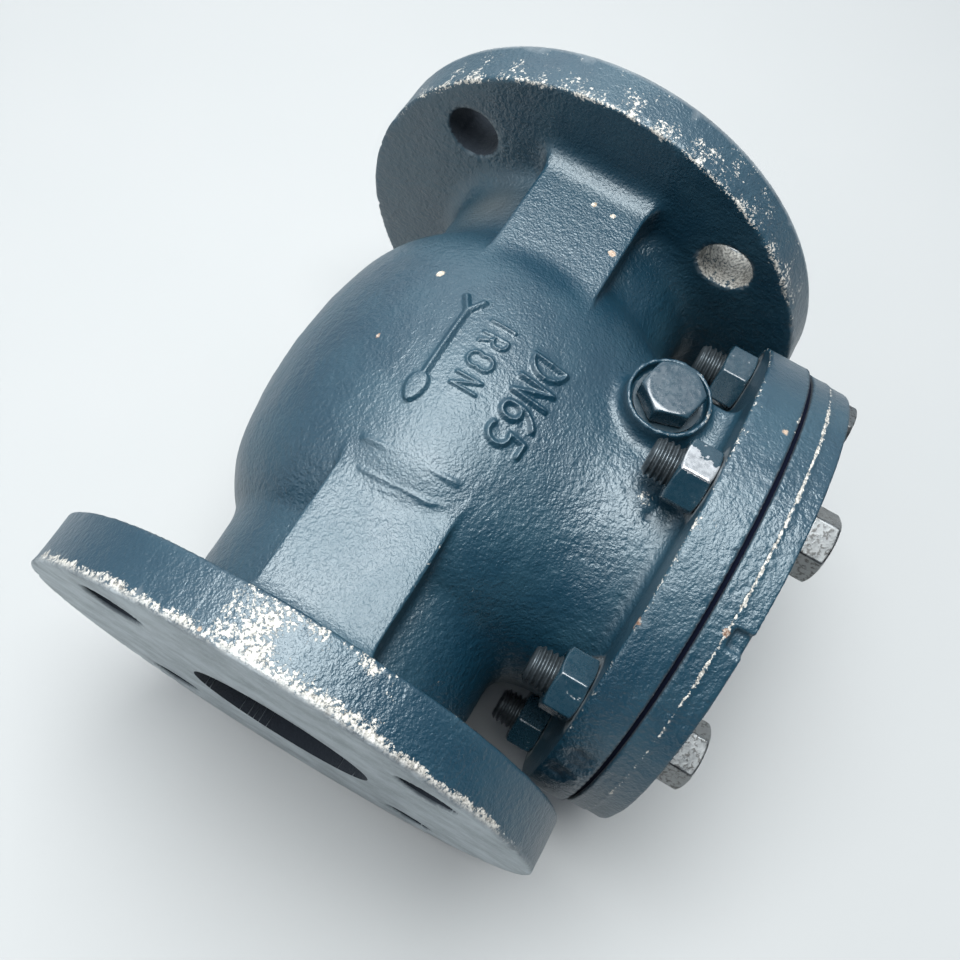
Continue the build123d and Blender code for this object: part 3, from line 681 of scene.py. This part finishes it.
def dark_places(p):
    """Masks of the inner faces that get painted shade, near-black, and of the one hole wall that is
    clean.
    """
    x, y, z = p.T
    ry = np.hypot(x - GLOBE_X, z)
    off_face = np.minimum(x, LENGTH - x) > 0.8
    space_r = np.interp(x, POCKET_CURVE[0], POCKET_CURVE[1])
    space_r = np.where(x > 62.0, np.interp(x, CHAMBER_CURVE[0], CHAMBER_CURVE[1]), space_r)
    # painted shade: the flow passage, the bonnet's bore, the joint face's ring under the gasket and the
    # pipe-bolt holes' walls
    dark = (np.hypot(y, z) < space_r + 1.2) & off_face
    dark |= (ry < BONNET_BORE_R + 1.2) & (y > 40.0)
    dark |= (y > JOINT_Y - 0.4) & (np.abs(ry - 71.0) < 14.0)
    in_flange = off_face & (np.minimum(x, LENGTH - x) < FLANGE_T + 1.0)
    for i, (hy, hz) in enumerate(PIPE_HOLES):
        wall = (np.hypot(y - hy, z - hz) < HOLE_R + 0.4) & in_flange
        if i == 0:
            clean_hole = wall & (x < FLANGE_T)
        dark |= wall & ~clean_hole
    return dark, clean_hole


def body_wear(p):
    """How far the body's paint is rubbed off, most of all along edges and rims."""
    x, y, z = p.T
    rim = np.hypot(y, z)
    edges = np.clip(sharpness(body_distance, p, 1.2) - 0.12, 0, 1) * 1.5
    edges[(z > 50) & (x > 80) & (x < 157) & (np.abs(y - 5) < 26)] = 0.0
    near_rim = step01(rim, 86.0, 88.0)
    # the outlet rim's upper side, but for an island of paint
    turn = np.degrees(np.arctan2(z, y))
    island = np.hypot((x - 206.5) / 4.6, (turn - 79.0) / 9.5)
    patch = near_rim * step01(x, 197.8, 199.2) * step01(turn, 62, 74) * step01(-turn, -106, -96)
    patch = patch * (1.0 - step01(1.25 - island, 0.0, 0.4) * 0.45)
    face_edge = step01(x, 211.2, 213.6) * near_rim * step01(z, 10.0, 62.0)
    far_edge = step01(FLANGE_T + 0.6 - x, 0.0, 0.5) * step01(x, FLANGE_T - 2.2, FLANGE_T - 0.6)
    far_edge = far_edge * near_rim * step01(z, 20.0, 60.0)
    far_rim = near_rim * (x < FLANGE_T + 1.0) * step01(z, 10.0, 50.0)
    from_joint_edge = np.hypot(np.hypot(x - GLOBE_X, z) - JOINT_R + 0.5, y - JOINT_UNDER_Y - 0.4)
    joint_edge = step01(1.5 - from_joint_edge, 0.0, 1.0) * step01(z, 5.0, 45.0)
    lip = step01(z, BOSS_Z - 0.9, BOSS_Z - 0.2) * (np.hypot(x - PIN_X, y - PIN_Y) < BOSS_R + 0.5)
    wear = 0.16 + 0.30 * np.clip(edges, 0, 1)
    worn = (0.50 * patch, 0.58 * face_edge, 0.50 * far_edge, 0.42 * joint_edge, 0.34 * lip)
    return np.maximum.reduce([wear, *worn, far_rim * (0.31 + 0.12 * step01(x, 6.0, FLANGE_T))])


def body_piece():
    """The painted body casting."""
    step = 1.0
    low, high = (0.0, -FLANGE_R, -FLANGE_R), (LENGTH, JOINT_Y, FLANGE_R)
    v, f = surface_net(body_distance, low, high, step)
    obj = make_mesh("casting_body", settle(body_distance, v), f)
    # finer faces under the marks and the mould's lines
    refine(obj, lambda x, y, z: 84 < x < 130 and -17 < y < 27 and z > 50, 2)
    refine(obj, lambda x, y, z: 136 < x < 156 and -20 < y < 18 and z > 57, 1)
    p = settle(body_distance, points_of(obj), 1)
    n = normals_at(body_distance, p, 0.4)
    skin = cast_skin(p)
    lift = raised(p)
    p = roughen(p, n, skin, 11, np.where(on_pad(p), 0.25, 1.0)) + n * lift[:, None]
    knock_about(p, n)
    set_points(obj, p)
    thin_out(obj, 196000)
    p = points_of(obj)
    keep_inside(p)
    set_points(obj, p)
    dark, clean_hole = dark_places(p)
    set_attribute(obj, "bare", (1.0 - cast_skin(p)) * ~(dark | clean_hole))
    set_attribute(obj, "wear", np.where(clean_hole, 0.62, body_wear(p)))
    crown = step01(p[:, 2], 52.0, 64.0)
    crown *= step01(np.hypot(p[:, 1], p[:, 2]), GLOBE_R - 14.0, GLOBE_R - 6.0)
    set_attribute(obj, "grain", np.where(on_pad(p), 0.45, 1.0 - 0.35 * crown))
    # painted shade: concave corners are darkened, and the inner faces made near-black
    corners = step01(-sharpness(body_distance, p, 3.0), 0.05, 0.6)
    set_attribute(obj, "grime_and_shade", np.maximum(corners * 0.6, dark))
    set_attribute(obj, "tint", bump_at(p, (32.0, -30.0, 36.0), (20.0, 24.0, 24.0), 1.0))
    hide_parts("body")
    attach(obj, "valve_body")
    obj.data.materials.append(PAINTED_IRON)


def cover_piece():
    """The painted cover casting."""
    step = 0.9
    low = (GLOBE_X - COVER_R - 0.4, COVER_IN_Y - SPIGOT_H, -COVER_R - 0.4)
    high = (GLOBE_X + COVER_R + 0.4, COVER_OUT_Y + COVER_BOSS_H, COVER_R + 0.4)
    v, f = surface_net(cover_distance, low, high, step)
    obj = make_mesh("casting_cover", settle(cover_distance, v), f)
    p = points_of(obj)
    n = normals_at(cover_distance, p, 0.3)
    x, y, z = p.T
    ry = np.hypot(x - GLOBE_X, z)
    skin = step01(y, COVER_IN_Y + 0.3, COVER_IN_Y + 1.4)
    for hx, hz in COVER_HOLES:
        rh = np.hypot(x - GLOBE_X - hx, z - hz)
        skin *= step01(rh, BOLT_HOLE_R + 0.1, BOLT_HOLE_R + 1.4)
    p = roughen(p, n, skin * 0.8, 41)
    # the flash on the parting line comes and goes
    flash = step01(ry, COVER_R - 0.9, COVER_R) * step01(0.9 - np.abs(y - COVER_LINE_Y), 0.0, 0.9)
    p -= n * (flash * 0.35 * (1.0 + lattice_noise(p / 2.3, 52)))[:, None]
    set_points(obj, p)
    thin_out(obj, 110000)
    p = points_of(obj)
    x, y, z = p.T
    ry = np.hypot(x - GLOBE_X, z)
    edges = np.clip(sharpness(cover_distance, p, 1.0) - 0.15, 0, 1)
    line = step01(1.1 - np.abs(y - COVER_LINE_Y), 0.0, 0.9) * step01(ry, 80.0, 81.5)
    line *= 0.40 + 0.10 * step01(z, 30.0, 62.0) + 0.16 * step01(z, 70.0, 75.0)
    set_attribute(obj, "wear", np.maximum(0.15 + 0.26 * edges, line))
    # painted shade: the cover's underside outside the bonnet's bore and its concave corners are darkened
    underside = 1.0 - step01(y, COVER_IN_Y + 0.1, COVER_IN_Y + 0.6)
    set_attribute(obj, "bare", underside * (ry < BONNET_R))
    corners = step01(-sharpness(cover_distance, p, 2.0), 0.05, 0.6)
    set_attribute(obj, "grime_and_shade", np.maximum(underside, corners * 0.6))
    set_attribute(obj, "tint", np.zeros(len(p)))
    set_attribute(obj, "grain", np.ones(len(p)))
    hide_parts("cover")
    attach(obj, "valve_body")
    obj.data.materials.append(PAINTED_IRON)


# ---- bolts, nuts and plugs -------------------------------------------------
THREAD_PITCH = 1.95
THREAD_DEPTH = 0.95
PLUG_PITCH = 1.6
PLUG_THREAD_DEPTH = 0.8
THREAD_LENGTH = 22.0
PLUG_SHANK = PLUG_SEAT_Z - PLUG_HOLE_Z
CROWN_DEG = 27
PEELED_NUT = "cover_nut_2"
HEAD_TURNS = (12, 18, 40, 5, 33, 50)
NUT_TURNS = (25, 8, 1, 44, 16, 10)
PLUG_TURN = -12.0


def hexagon(u, v, across_flats):
    """Distance to a hexagonal prism's side, its corners worn round."""
    d = None
    for i in range(3):
        a = math.radians(30 + 60 * i)
        side = np.abs(u * math.cos(a) + v * math.sin(a)) - across_flats / 2
        d = side if d is None else smax(d, side, 0.45)
    return d


def thread_distance(u, v, w, radius, depth, pitch):
    """Distance to an endless screw along w."""
    r = np.hypot(u, v)
    turn = np.arctan2(v, u) / (2 * math.pi)
    phase = (w / pitch - turn) % 1.0
    tooth = np.abs(phase - 0.5) * 2.0
    tooth = np.clip((tooth - 0.12) / 0.76, 0.0, 1.0)
    return (r - radius + depth * tooth) * 0.62


def hex_head(u, v, w, across_flats, height, both):
    """Distance to a hexagon from w 0 to height, crowned at the top and, if both, below."""
    d = smax(hexagon(u, v, across_flats), slab(w, 0.0, height), 0.25)
    slope = math.radians(CROWN_DEG)
    fall = (np.hypot(u, v) - across_flats / 2 * 0.97) * math.tan(slope)
    d = smax(d, (w - height + fall) * math.cos(slope), 0.4)
    if both:
        d = smax(d, (-w + fall) * math.cos(slope), 0.4)
    return d


def nut_distance(u, v, w):
    """A nut from w 0, which bears on the casting, to its outer end."""
    d = hex_head(u, v, w, HEX_AF, NUT_H, True)
    r = np.hypot(u, v)
    bore = r - BOLT_R - 0.15 - np.maximum(0.0, w - NUT_H + 0.9)
    return smax(d, -bore, 0.15)


def bolt_distance(u, v, w):
    """A bolt whose head stands above w 0 and whose shank hangs below."""
    head = hex_head(u, v, w, HEX_AF - 0.2, HEAD_H, False)
    length = COVER_OUT_Y - BOLT_END_Y
    r = np.hypot(u, v)
    screw = thread_distance(u, v, w, BOLT_R, THREAD_DEPTH, THREAD_PITCH)
    plain = r - BOLT_R + 0.15
    blend = step01(w, THREAD_LENGTH - length, THREAD_LENGTH - length + 1.0)
    shank = screw * (1 - blend) + plain * blend
    shank = np.maximum(shank, slab(w, -length, 1.0))
    end = (r - BOLT_R + 1.6 - (w + length)) * 0.7
    return np.minimum(head, smax(shank, end, 0.2))


def plug_distance(u, v, w):
    """A hexagon plug: head above w 0, threaded shank below."""
    head = hex_head(u, v, w - 1.0, PLUG_AF, PLUG_HEAD_H - 1.0, False)
    collar = rounded(np.hypot(u, v) - PLUG_AF / 2 + 0.15, slab(w, 0.0, 1.4), 0.2)
    shank = thread_distance(u, v, w, PLUG_THREAD_R, PLUG_THREAD_DEPTH, PLUG_PITCH)
    shank = np.maximum(shank, slab(w, 0.2 - PLUG_SHANK, 1.0))
    return np.minimum(np.minimum(head, collar), shank)


def place(local, origin, axis, across, turn_deg):
    """Points (u, v, w) to the valve's frame: w along axis, u turned by turn_deg from across."""
    w = np.array(axis, dtype=float)
    u0 = np.array(across, dtype=float)
    v0 = np.cross(w, u0)
    a = math.radians(turn_deg)
    u = u0 * math.cos(a) + v0 * math.sin(a)
    v = -u0 * math.sin(a) + v0 * math.cos(a)
    return np.array(origin) + local[:, :1] * u + local[:, 1:2] * v + local[:, 2:] * w


def fastener_shape(distance, low, high, step):
    """Vertices, faces and worn-edge values of a fastener in its own (u, v, w)."""
    v, f = surface_net(distance, low, high, step)
    v = settle(distance, v, 3)
    worn = np.clip(sharpness(distance, v, 0.5) - 0.25, 0, 1) * 1.6
    return v, f, worn


def fastener(shape, name, node, material, origin, axis, turn_deg, seed, wear=0.0):
    """Place one copy of a fastener, its axis square to X, and dress it."""
    v, f, worn = shape
    p = place(v, origin, axis, (1.0, 0.0, 0.0), turn_deg)
    obj = make_mesh(name, p, f)
    wear = 0.12 + wear + 0.34 * worn + 0.10 * lattice_noise(p / 4.0, seed)
    if node == PEELED_NUT:
        torn = 0.3 - 0.28 * v[:, 2] - 1.7 * lattice_noise(v / 1.5, 7) - 0.6 * lattice_noise(v / 0.6, 8)
        wear = np.where((v[:, 1] > HEX_AF / 2 - 0.5) & (v[:, 0] > torn), 1.0, wear)
    set_attribute(obj, "wear", wear)
    set_attribute(obj, "grime_and_shade", step01(-v[:, 2], 0.0, 1.0) * (np.hypot(v[:, 0], v[:, 1]) < 8.4))
    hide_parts(node)
    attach(obj, "valve_body")
    obj.data.materials.append(material)


def fasteners():
    """All bolts, nuts and the two plugs."""
    step = 0.3
    half = HEX_AF / 2 * 1.16
    nut = fastener_shape(nut_distance, (-half, -half, 0.0), (half, half, NUT_H), step)
    length = COVER_OUT_Y - BOLT_END_Y
    bolt = fastener_shape(bolt_distance, (-half, -half, -length), (half, half, HEAD_H), step)
    plug = fastener_shape(plug_distance, (-half, -half, -PLUG_SHANK), (half, half, PLUG_HEAD_H), step)
    for i, (hx, hz) in enumerate(COVER_HOLES):
        x = GLOBE_X + hx
        fastener(
            bolt, f"bolt_{i + 1}", f"cover_bolt_{i + 1}", PLATED_STEEL,
            (x, COVER_OUT_Y, hz), (0.0, 1.0, 0.0), HEAD_TURNS[i], 100 + i,
        )
        fastener(
            nut, f"nut_{i + 1}", f"cover_nut_{i + 1}", PAINTED_STEEL,
            (x, JOINT_UNDER_Y, hz), (0.0, -1.0, 0.0), NUT_TURNS[i], 200 + i, 0.04,
        )
    for side, sign in (("marked", 1.0), ("plain", -1.0)):
        fastener(
            plug, f"plug_{side}", f"pin_plug_{side}_side", PAINTED_STEEL,
            (PIN_X, PIN_Y, sign * PLUG_SEAT_Z), (0.0, 0.0, sign), PLUG_TURN, 300, -0.02,
        )


# ---- materials -------------------------------------------------------------
def feed(tree, node, values):
    """Link each result to its input of the node, or set the input to a number or colour."""
    for key, value in values.items():
        socket = node.inputs[key]
        if isinstance(value, bpy.types.NodeSocket):
            tree.links.new(value, socket)
        elif socket.type == "RGBA":
            socket.default_value = (*value, 1.0)
        else:
            socket.default_value = value


def add(tree, kind, inputs=None, **settings):
    """Add a shader node with these settings and inputs."""
    node = tree.nodes.new(kind)
    for key, value in settings.items():
        setattr(node, key, value)
    feed(tree, node, inputs or {})
    return node


def calc(tree, operation, a, b=0.0):
    """A math node's result."""
    return add(tree, "ShaderNodeMath", {0: a, 1: b}, operation=operation).outputs[0]


def swing(tree, value, amount):
    """How far a noise is from its middle, times amount."""
    return calc(tree, "MULTIPLY", calc(tree, "SUBTRACT", value, 0.5), amount)


def band(tree, value, low, high, to_low=0.0, to_high=1.0):
    """Smoothly from to_low at low to to_high at high."""
    node = add(
        tree,
        "ShaderNodeMapRange",
        {"Value": value, "From Min": low, "From Max": high, "To Min": to_low, "To Max": to_high},
        interpolation_type="SMOOTHSTEP",
    )
    return node.outputs[0]


def mix(tree, share, a, b):
    """Colour a, turning to b by share."""
    return add(tree, "ShaderNodeMix", {0: share, 6: a, 7: b}, data_type="RGBA").outputs[2]


def mix_value(tree, share, a, b):
    """Value a, turning to b by share."""
    return add(tree, "ShaderNodeMix", {0: share, 2: a, 3: b}, data_type="FLOAT").outputs[0]


def new_material(name):
    """A material, its tree, its shader, and the object's own coordinates."""
    material = bpy.data.materials.new(name)
    material.use_nodes = True
    tree = material.node_tree
    shader = tree.nodes["Principled BSDF"]
    where = add(tree, "ShaderNodeTexCoord").outputs["Object"]
    return material, tree, shader, where


def noise(tree, where, size_mm, detail=2.0, rough=0.5):
    """Noise whose lumps are about size_mm across."""
    node = add(
        tree,
        "ShaderNodeTexNoise",
        {"Vector": where, "Scale": 1000.0 / size_mm, "Detail": detail, "Roughness": rough},
    )
    return node.outputs["Fac"]


def attribute(tree, name):
    """A per-vertex value made with the mesh."""
    return add(tree, "ShaderNodeAttribute", attribute_name=name).outputs["Fac"]


def bump(tree, height, depth_mm, normal=None):
    """A bump of this depth."""
    inputs = {"Height": height, "Distance": depth_mm * MM, "Strength": 1.0}
    if normal is not None:
        inputs["Normal"] = normal
    return add(tree, "ShaderNodeBump", inputs).outputs["Normal"]


def chips(tree, where, ragged, places):
    """Ragged spots about given points: (x, y, z, radius) in mm."""
    total = 0.0
    for x, y, z, radius in places:
        middle = (x * MM, y * MM, z * MM)
        near = add(tree, "ShaderNodeVectorMath", {0: where, 1: middle}, operation="DISTANCE")
        gap = calc(tree, "ADD", calc(tree, "DIVIDE", near.outputs["Value"], radius * MM), ragged)
        total = calc(tree, "MAXIMUM", band(tree, gap, 0.95, 1.05, 1.0, 0.0), total)
    return total


PALE_CHIPS = ((81.3, -26.3, 61.0, 1.3), (28.9, 1.8, 60.0, 0.9), (29.5, 9.3, 60.0, 0.9))
RUST_CHIPS = (
    (110.7, -30.6, 61.0, 0.8),
    (151.3, 75.3, 69.2, 1.3),
    (152.6, 75.3, 68.0, 0.9),
    (143.6, 96.5, 73.6, 1.1),
    (144.4, 103.2, 72.4, 1.2),
)


def make_painted_iron():
    """Semi-gloss slate paint on sand-cast iron, worn to metal, machined faces bare."""
    material, tree, shader, where = new_material("painted_cast_iron")
    wear, bare = attribute(tree, "wear"), attribute(tree, "bare")
    grime_and_shade, tint, grain = (attribute(tree, name) for name in ("grime_and_shade", "tint", "grain"))
    split = add(tree, "ShaderNodeSeparateXYZ", {0: where})
    # painted shade in the bore: its wall turns near-black instead of bare metal
    across = add(tree, "ShaderNodeCombineXYZ", {1: split.outputs[1], 2: split.outputs[2]})
    radial = add(tree, "ShaderNodeVectorMath", {0: across.outputs[0]}, operation="LENGTH")
    mouth = band(tree, radial.outputs["Value"], (BORE_R + 0.05) * MM, (BORE_R + 0.25) * MM, 1.0, 0.0)
    bare = calc(tree, "MULTIPLY", bare, calc(tree, "SUBTRACT", 1.0, mouth))
    lump = noise(tree, where, 4.5, 2.0, 0.5)
    peel = noise(tree, where, 1.7, 2.0, 0.5)
    small = noise(tree, where, 0.8, 2.0, 0.55)
    broad = noise(tree, where, 38.0, 3.0, 0.6)
    patchy = noise(tree, where, 7.0, 3.0, 0.6)
    speck = noise(tree, where, 1.0, 3.0, 0.7)
    paint = mix(tree, band(tree, broad, 0.35, 0.65), (0.004, 0.030, 0.052), (0.010, 0.044, 0.068))
    paint = mix(tree, band(tree, speck, 0.6, 0.8, 0.0, 0.3), paint, (0.05, 0.10, 0.125))
    paint = mix(tree, calc(tree, "MULTIPLY", tint, 0.5), paint, (0.10, 0.095, 0.085))
    # painted shade: near-black navy in the concave corners, on the inner faces and in the bore
    painted_shade = calc(tree, "MULTIPLY", calc(tree, "MULTIPLY", grime_and_shade, grime_and_shade), 0.96)
    painted_shade = calc(tree, "MAXIMUM", painted_shade, mouth)
    paint = mix(tree, painted_shade, paint, (0.001, 0.004, 0.012))
    # worn through to dull, dusty metal
    rag = calc(tree, "ADD", swing(tree, speck, 0.9), swing(tree, patchy, 0.7))
    worn = band(tree, calc(tree, "ADD", rag, wear), 0.46, 0.56)
    metal = mix(tree, band(tree, speck, 0.35, 0.65), (0.16, 0.15, 0.13), (0.62, 0.59, 0.53))
    colour = mix(tree, worn, paint, metal)
    # machined faces: grey iron with dark smears
    smear = noise(tree, where, 14.0, 4.0, 0.65)
    iron = mix(tree, band(tree, smear, 0.25, 0.75), (0.20, 0.225, 0.24), (0.42, 0.46, 0.48))
    iron = mix(tree, band(tree, speck, 0.5, 0.75, 0.0, 0.6), iron, (0.50, 0.53, 0.54))
    colour = mix(tree, bare, colour, iron)
    # a few rust spots
    cell = add(tree, "ShaderNodeTexVoronoi", {"Vector": where, "Scale": 70.0})
    chance = add(tree, "ShaderNodeSeparateColor", {0: cell.outputs["Color"]}).outputs[0]
    spot = calc(tree, "SUBTRACT", band(tree, chance, 0.95, 0.98, 0.0, 0.10), cell.outputs["Distance"])
    spot = calc(tree, "ADD", spot, swing(tree, speck, 0.14))
    rust = band(tree, spot, 0.0, 0.03)
    rust_colour = mix(tree, speck, (0.20, 0.10, 0.05), (0.62, 0.50, 0.38))
    colour = mix(tree, rust, colour, rust_colour)
    ragged = swing(tree, speck, 2.2)
    tan = mix(tree, band(tree, speck, 0.35, 0.6), (0.30, 0.23, 0.16), (0.64, 0.58, 0.49))
    colour = mix(tree, chips(tree, where, ragged, PALE_CHIPS), colour, tan)
    brown = mix(tree, band(tree, speck, 0.4, 0.62), (0.15, 0.065, 0.03), (0.45, 0.36, 0.29))
    colour = mix(tree, chips(tree, where, ragged, RUST_CHIPS), colour, brown)
    rough = band(tree, broad, 0.3, 0.7, 0.34, 0.44)
    rough = mix_value(tree, worn, rough, 0.6)
    rough = mix_value(tree, painted_shade, rough, 0.95)
    rough = mix_value(tree, bare, rough, 0.5)
    metallic = calc(tree, "MAXIMUM", calc(tree, "MULTIPLY", worn, 0.4), bare)
    keep = band(tree, bare, 0.0, 1.0, 1.0, 0.12)
    height = calc(tree, "MULTIPLY", calc(tree, "ADD", peel, calc(tree, "MULTIPLY", lump, 0.8)), grain)
    height = calc(tree, "ADD", height, calc(tree, "MULTIPLY", small, 0.55))
    normal = bump(tree, calc(tree, "MULTIPLY", height, keep), 0.42)
    look = {
        "Base Color": colour,
        "Roughness": rough,
        "Metallic": calc(tree, "MULTIPLY", metallic, 0.5),
        "Normal": bump(tree, calc(tree, "SUBTRACT", 1.0, worn), 0.06, normal),
        "Specular Tint": (0.90, 0.98, 1.0),
        "Specular IOR Level": 1.0,
    }
    feed(tree, shader, look)
    return material


def make_painted_steel():
    """Thick glossy paint on machined steel, bright where it has come off."""
    material, tree, shader, where = new_material("painted_fastener")
    wear = attribute(tree, "wear")
    speck = noise(tree, where, 1.4, 3.0, 0.6)
    broad = noise(tree, where, 7.0, 2.0, 0.5)
    peel = noise(tree, where, 2.2, 1.5, 0.5)
    paint = mix(tree, broad, (0.005, 0.024, 0.040), (0.012, 0.040, 0.058))
    share = calc(tree, "ADD", swing(tree, speck, 0.9), wear)
    share = calc(tree, "ADD", share, swing(tree, broad, 0.5))
    worn = band(tree, share, 0.40, 0.44)
    metal = mix(tree, speck, (0.40, 0.41, 0.42), (0.72, 0.73, 0.74))
    normal = bump(tree, peel, 0.10)
    look = {
        "Base Color": mix(tree, worn, paint, metal),
        "Metallic": calc(tree, "MULTIPLY", worn, 0.8),
        "Roughness": band(tree, speck, 0.3, 0.7, 0.22, 0.34),
        "Normal": bump(tree, calc(tree, "SUBTRACT", 1.0, worn), 0.06, normal),
        "Specular IOR Level": 0.9,
        "Coat Weight": 0.3,
        "Coat Roughness": 0.15,
    }
    feed(tree, shader, look)
    return material


def make_metal(name, dark, light, grime_colour, rough, mottle_mm=3.0):
    """Plain worn metal: mottled, with specks of dirt."""
    material, tree, shader, where = new_material(name)
    speck = noise(tree, where, 1.1, 3.0, 0.6)
    broad = noise(tree, where, mottle_mm, 3.0, 0.55)
    dirt = band(tree, speck, 0.55, 0.72, 0.0, 0.3)
    look = {
        "Base Color": mix(tree, dirt, mix(tree, broad, dark, light), grime_colour),
        "Metallic": 1.0,
        "Roughness": band(tree, broad, 0.3, 0.7, rough - 0.08, rough + 0.1),
        "Normal": bump(tree, speck, 0.03),
    }
    feed(tree, shader, look)
    return material


def make_plated_steel():
    """Zinc-plated bolt, dull white where it has aged, oily in the thread."""
    material, tree, shader, where = new_material("zinc_bolt")
    grime_and_shade = attribute(tree, "grime_and_shade")
    speck = noise(tree, where, 1.2, 3.0, 0.6)
    broad = noise(tree, where, 5.0, 3.0, 0.6)
    colour = mix(tree, broad, (0.12, 0.13, 0.13), (0.30, 0.31, 0.31))
    colour = mix(tree, band(tree, speck, 0.50, 0.62, 0.0, 0.75), colour, (0.05, 0.048, 0.045))
    oily = mix(tree, speck, (0.012, 0.022, 0.030), (0.14, 0.16, 0.17))
    look = {
        "Base Color": mix(tree, grime_and_shade, colour, oily),
        "Metallic": band(tree, grime_and_shade, 0.0, 1.0, 0.95, 0.75),
        "Roughness": band(tree, broad, 0.3, 0.7, 0.26, 0.42),
        "Normal": bump(tree, speck, 0.04),
    }
    feed(tree, shader, look)
    return material


def make_plain(name, dark, light, rough, size_mm, depth_mm, specular=0.5):
    """A non-metal: paint on a washer, fibre gasket or rubber facing."""
    material, tree, shader, where = new_material(name)
    grain = noise(tree, where, size_mm, 3.0, 0.6)
    look = {
        "Base Color": mix(tree, grain, dark, light),
        "Roughness": band(tree, grain, 0.3, 0.7, rough - 0.06, rough + 0.06),
        "Normal": bump(tree, grain, depth_mm),
        "Specular IOR Level": specular,
    }
    feed(tree, shader, look)
    return material


PAINTED_IRON = make_painted_iron()
PAINTED_STEEL = make_painted_steel()
WASHER_PAINT = make_plain("washer_paint", (0.008, 0.026, 0.040), (0.016, 0.042, 0.058), 0.38, 2.2, 0.1)
PLATED_STEEL = make_plated_steel()
STAINLESS = make_metal("stainless", (0.42, 0.43, 0.44), (0.62, 0.63, 0.64), (0.2, 0.19, 0.18), 0.3)
BRONZE = make_metal("bronze", (0.40, 0.22, 0.09), (0.62, 0.40, 0.18), (0.12, 0.08, 0.04), 0.35, 8.0)
BARE_IRON = make_metal("bare_iron", (0.10, 0.10, 0.105), (0.22, 0.22, 0.22), (0.12, 0.06, 0.03), 0.5, 9.0)
FACING = make_plain("facing_rubber", (0.015, 0.015, 0.016), (0.03, 0.03, 0.032), 0.6, 2.0, 0.03)
# the gasket's own black, made near-black navy with little sheen to stand as painted shade in the joint's
# gap
GASKET_AND_GAP_SHADE = make_plain("gasket_fibre_and_gap_shade", (0.001, 0.002, 0.008), (0.003, 0.005, 0.014), 0.95, 0.8, 0.06, 0.1)
CAD_KEPT = {
    "cover_gasket": GASKET_AND_GAP_SHADE,
    "hinge_pin": STAINLESS,
    "plug_washer_marked_side": WASHER_PAINT,
    "plug_washer_plain_side": WASHER_PAINT,
    "seat_ring": BRONZE,
    "disc_arm": BARE_IRON,
    "disc": BRONZE,
    "disc_insert": FACING,
    "disc_washer": STAINLESS,
    "disc_nut": STAINLESS,
    "cotter_pin": STAINLESS,
}
for node_name, material in CAD_KEPT.items():
    mesh = nodes[node_name].data
    mesh.materials.clear()
    mesh.materials.append(material)
body_piece()
cover_piece()
fasteners()


# ---- floor, lights and camera ----------------------------------------------
def floor_plane():
    """A plain pale floor under the flanges' rims and the joint flange's rim."""
    tilt = math.radians(ROLL_DEG)
    drop = (FLANGE_R + 0.2) * MM
    middle = Vector((GLOBE_X * MM, math.sin(tilt) * drop, -math.cos(tilt) * drop))
    bm = bmesh.new()
    bmesh.ops.create_grid(bm, x_segments=8, y_segments=8, size=6.0)
    mesh = bpy.data.meshes.new("floor")
    bm.to_mesh(mesh)
    bm.free()
    obj = bpy.data.objects.new("floor", mesh)
    bpy.context.scene.collection.objects.link(obj)
    obj.matrix_world = Matrix.Translation(middle) @ Matrix.Rotation(tilt, 4, "X")
    material, tree, shader, where = new_material("pale_floor")
    grain = noise(tree, where, 90.0, 2.0, 0.5)
    colour = mix(tree, grain, (0.425, 0.435, 0.43), (0.44, 0.445, 0.44))
    feed(tree, shader, {"Base Color": colour, "Roughness": 0.8})
    mesh.materials.append(material)


def area_light(name, place_at, look_at, size, power, colour):
    """A square soft light that faces a point."""
    data = bpy.data.lights.new(name, "AREA")
    data.shape = "SQUARE"
    data.size = size
    data.energy = power
    data.color = colour
    obj = bpy.data.objects.new(name, data)
    bpy.context.scene.collection.objects.link(obj)
    aim = Vector(look_at) - Vector(place_at)
    obj.matrix_world = Matrix.Translation(place_at) @ aim.to_track_quat("-Z", "Y").to_matrix().to_4x4()


def surroundings():
    """A soft white room, darker on the side the viewer stands."""
    world = bpy.data.worlds.new("surroundings")
    bpy.context.scene.world = world
    world.use_nodes = True
    tree = world.node_tree
    ray = add(tree, "ShaderNodeTexCoord").outputs["Generated"]
    split = add(tree, "ShaderNodeSeparateXYZ", {0: ray})
    lean = 0.0
    for axis, weight in enumerate((-0.75, -0.5, 0.2)):
        lean = calc(tree, "ADD", calc(tree, "MULTIPLY", split.outputs[axis], weight), lean)
    share = band(tree, lean, -0.5, 0.6)
    colour = mix(tree, share, (0.004, 0.018, 0.045), (0.60, 0.67, 0.74))
    feed(tree, tree.nodes["Background"], {"Color": colour, "Strength": 1.0})


floor_plane()
surroundings()
area_light("overhead", (0.02, -0.10, 1.05), (0.11, 0.02, 0.0), 0.72, 20.5, (0.97, 0.99, 1.0))
area_light("fill", (0.85, -0.55, 0.75), (0.2, 0.0, 0.0), 0.9, 5.0, (0.97, 0.99, 1.0))
area_light("side", (-0.9, -0.75, 0.55), (0.1, 0.0, 0.0), 0.9, 3.0, (0.95, 0.98, 1.0))

lens = bpy.data.cameras.new("camera")
lens.lens = 35.84925
lens.shift_x = -0.0076042
lens.shift_y = 0.0213854
lens.clip_start = 0.01
camera = bpy.data.objects.new("camera", lens)
bpy.context.scene.collection.objects.link(camera)
turns = Euler([math.radians(turn) for turn in (21.608, -6.866, 119.376)])
camera.matrix_world = Matrix.LocRotScale(Vector((0.2410, 0.04606, 0.31047)), turns, None)
bpy.context.scene.camera = camera
bpy.context.scene.view_settings.view_transform = "Standard"
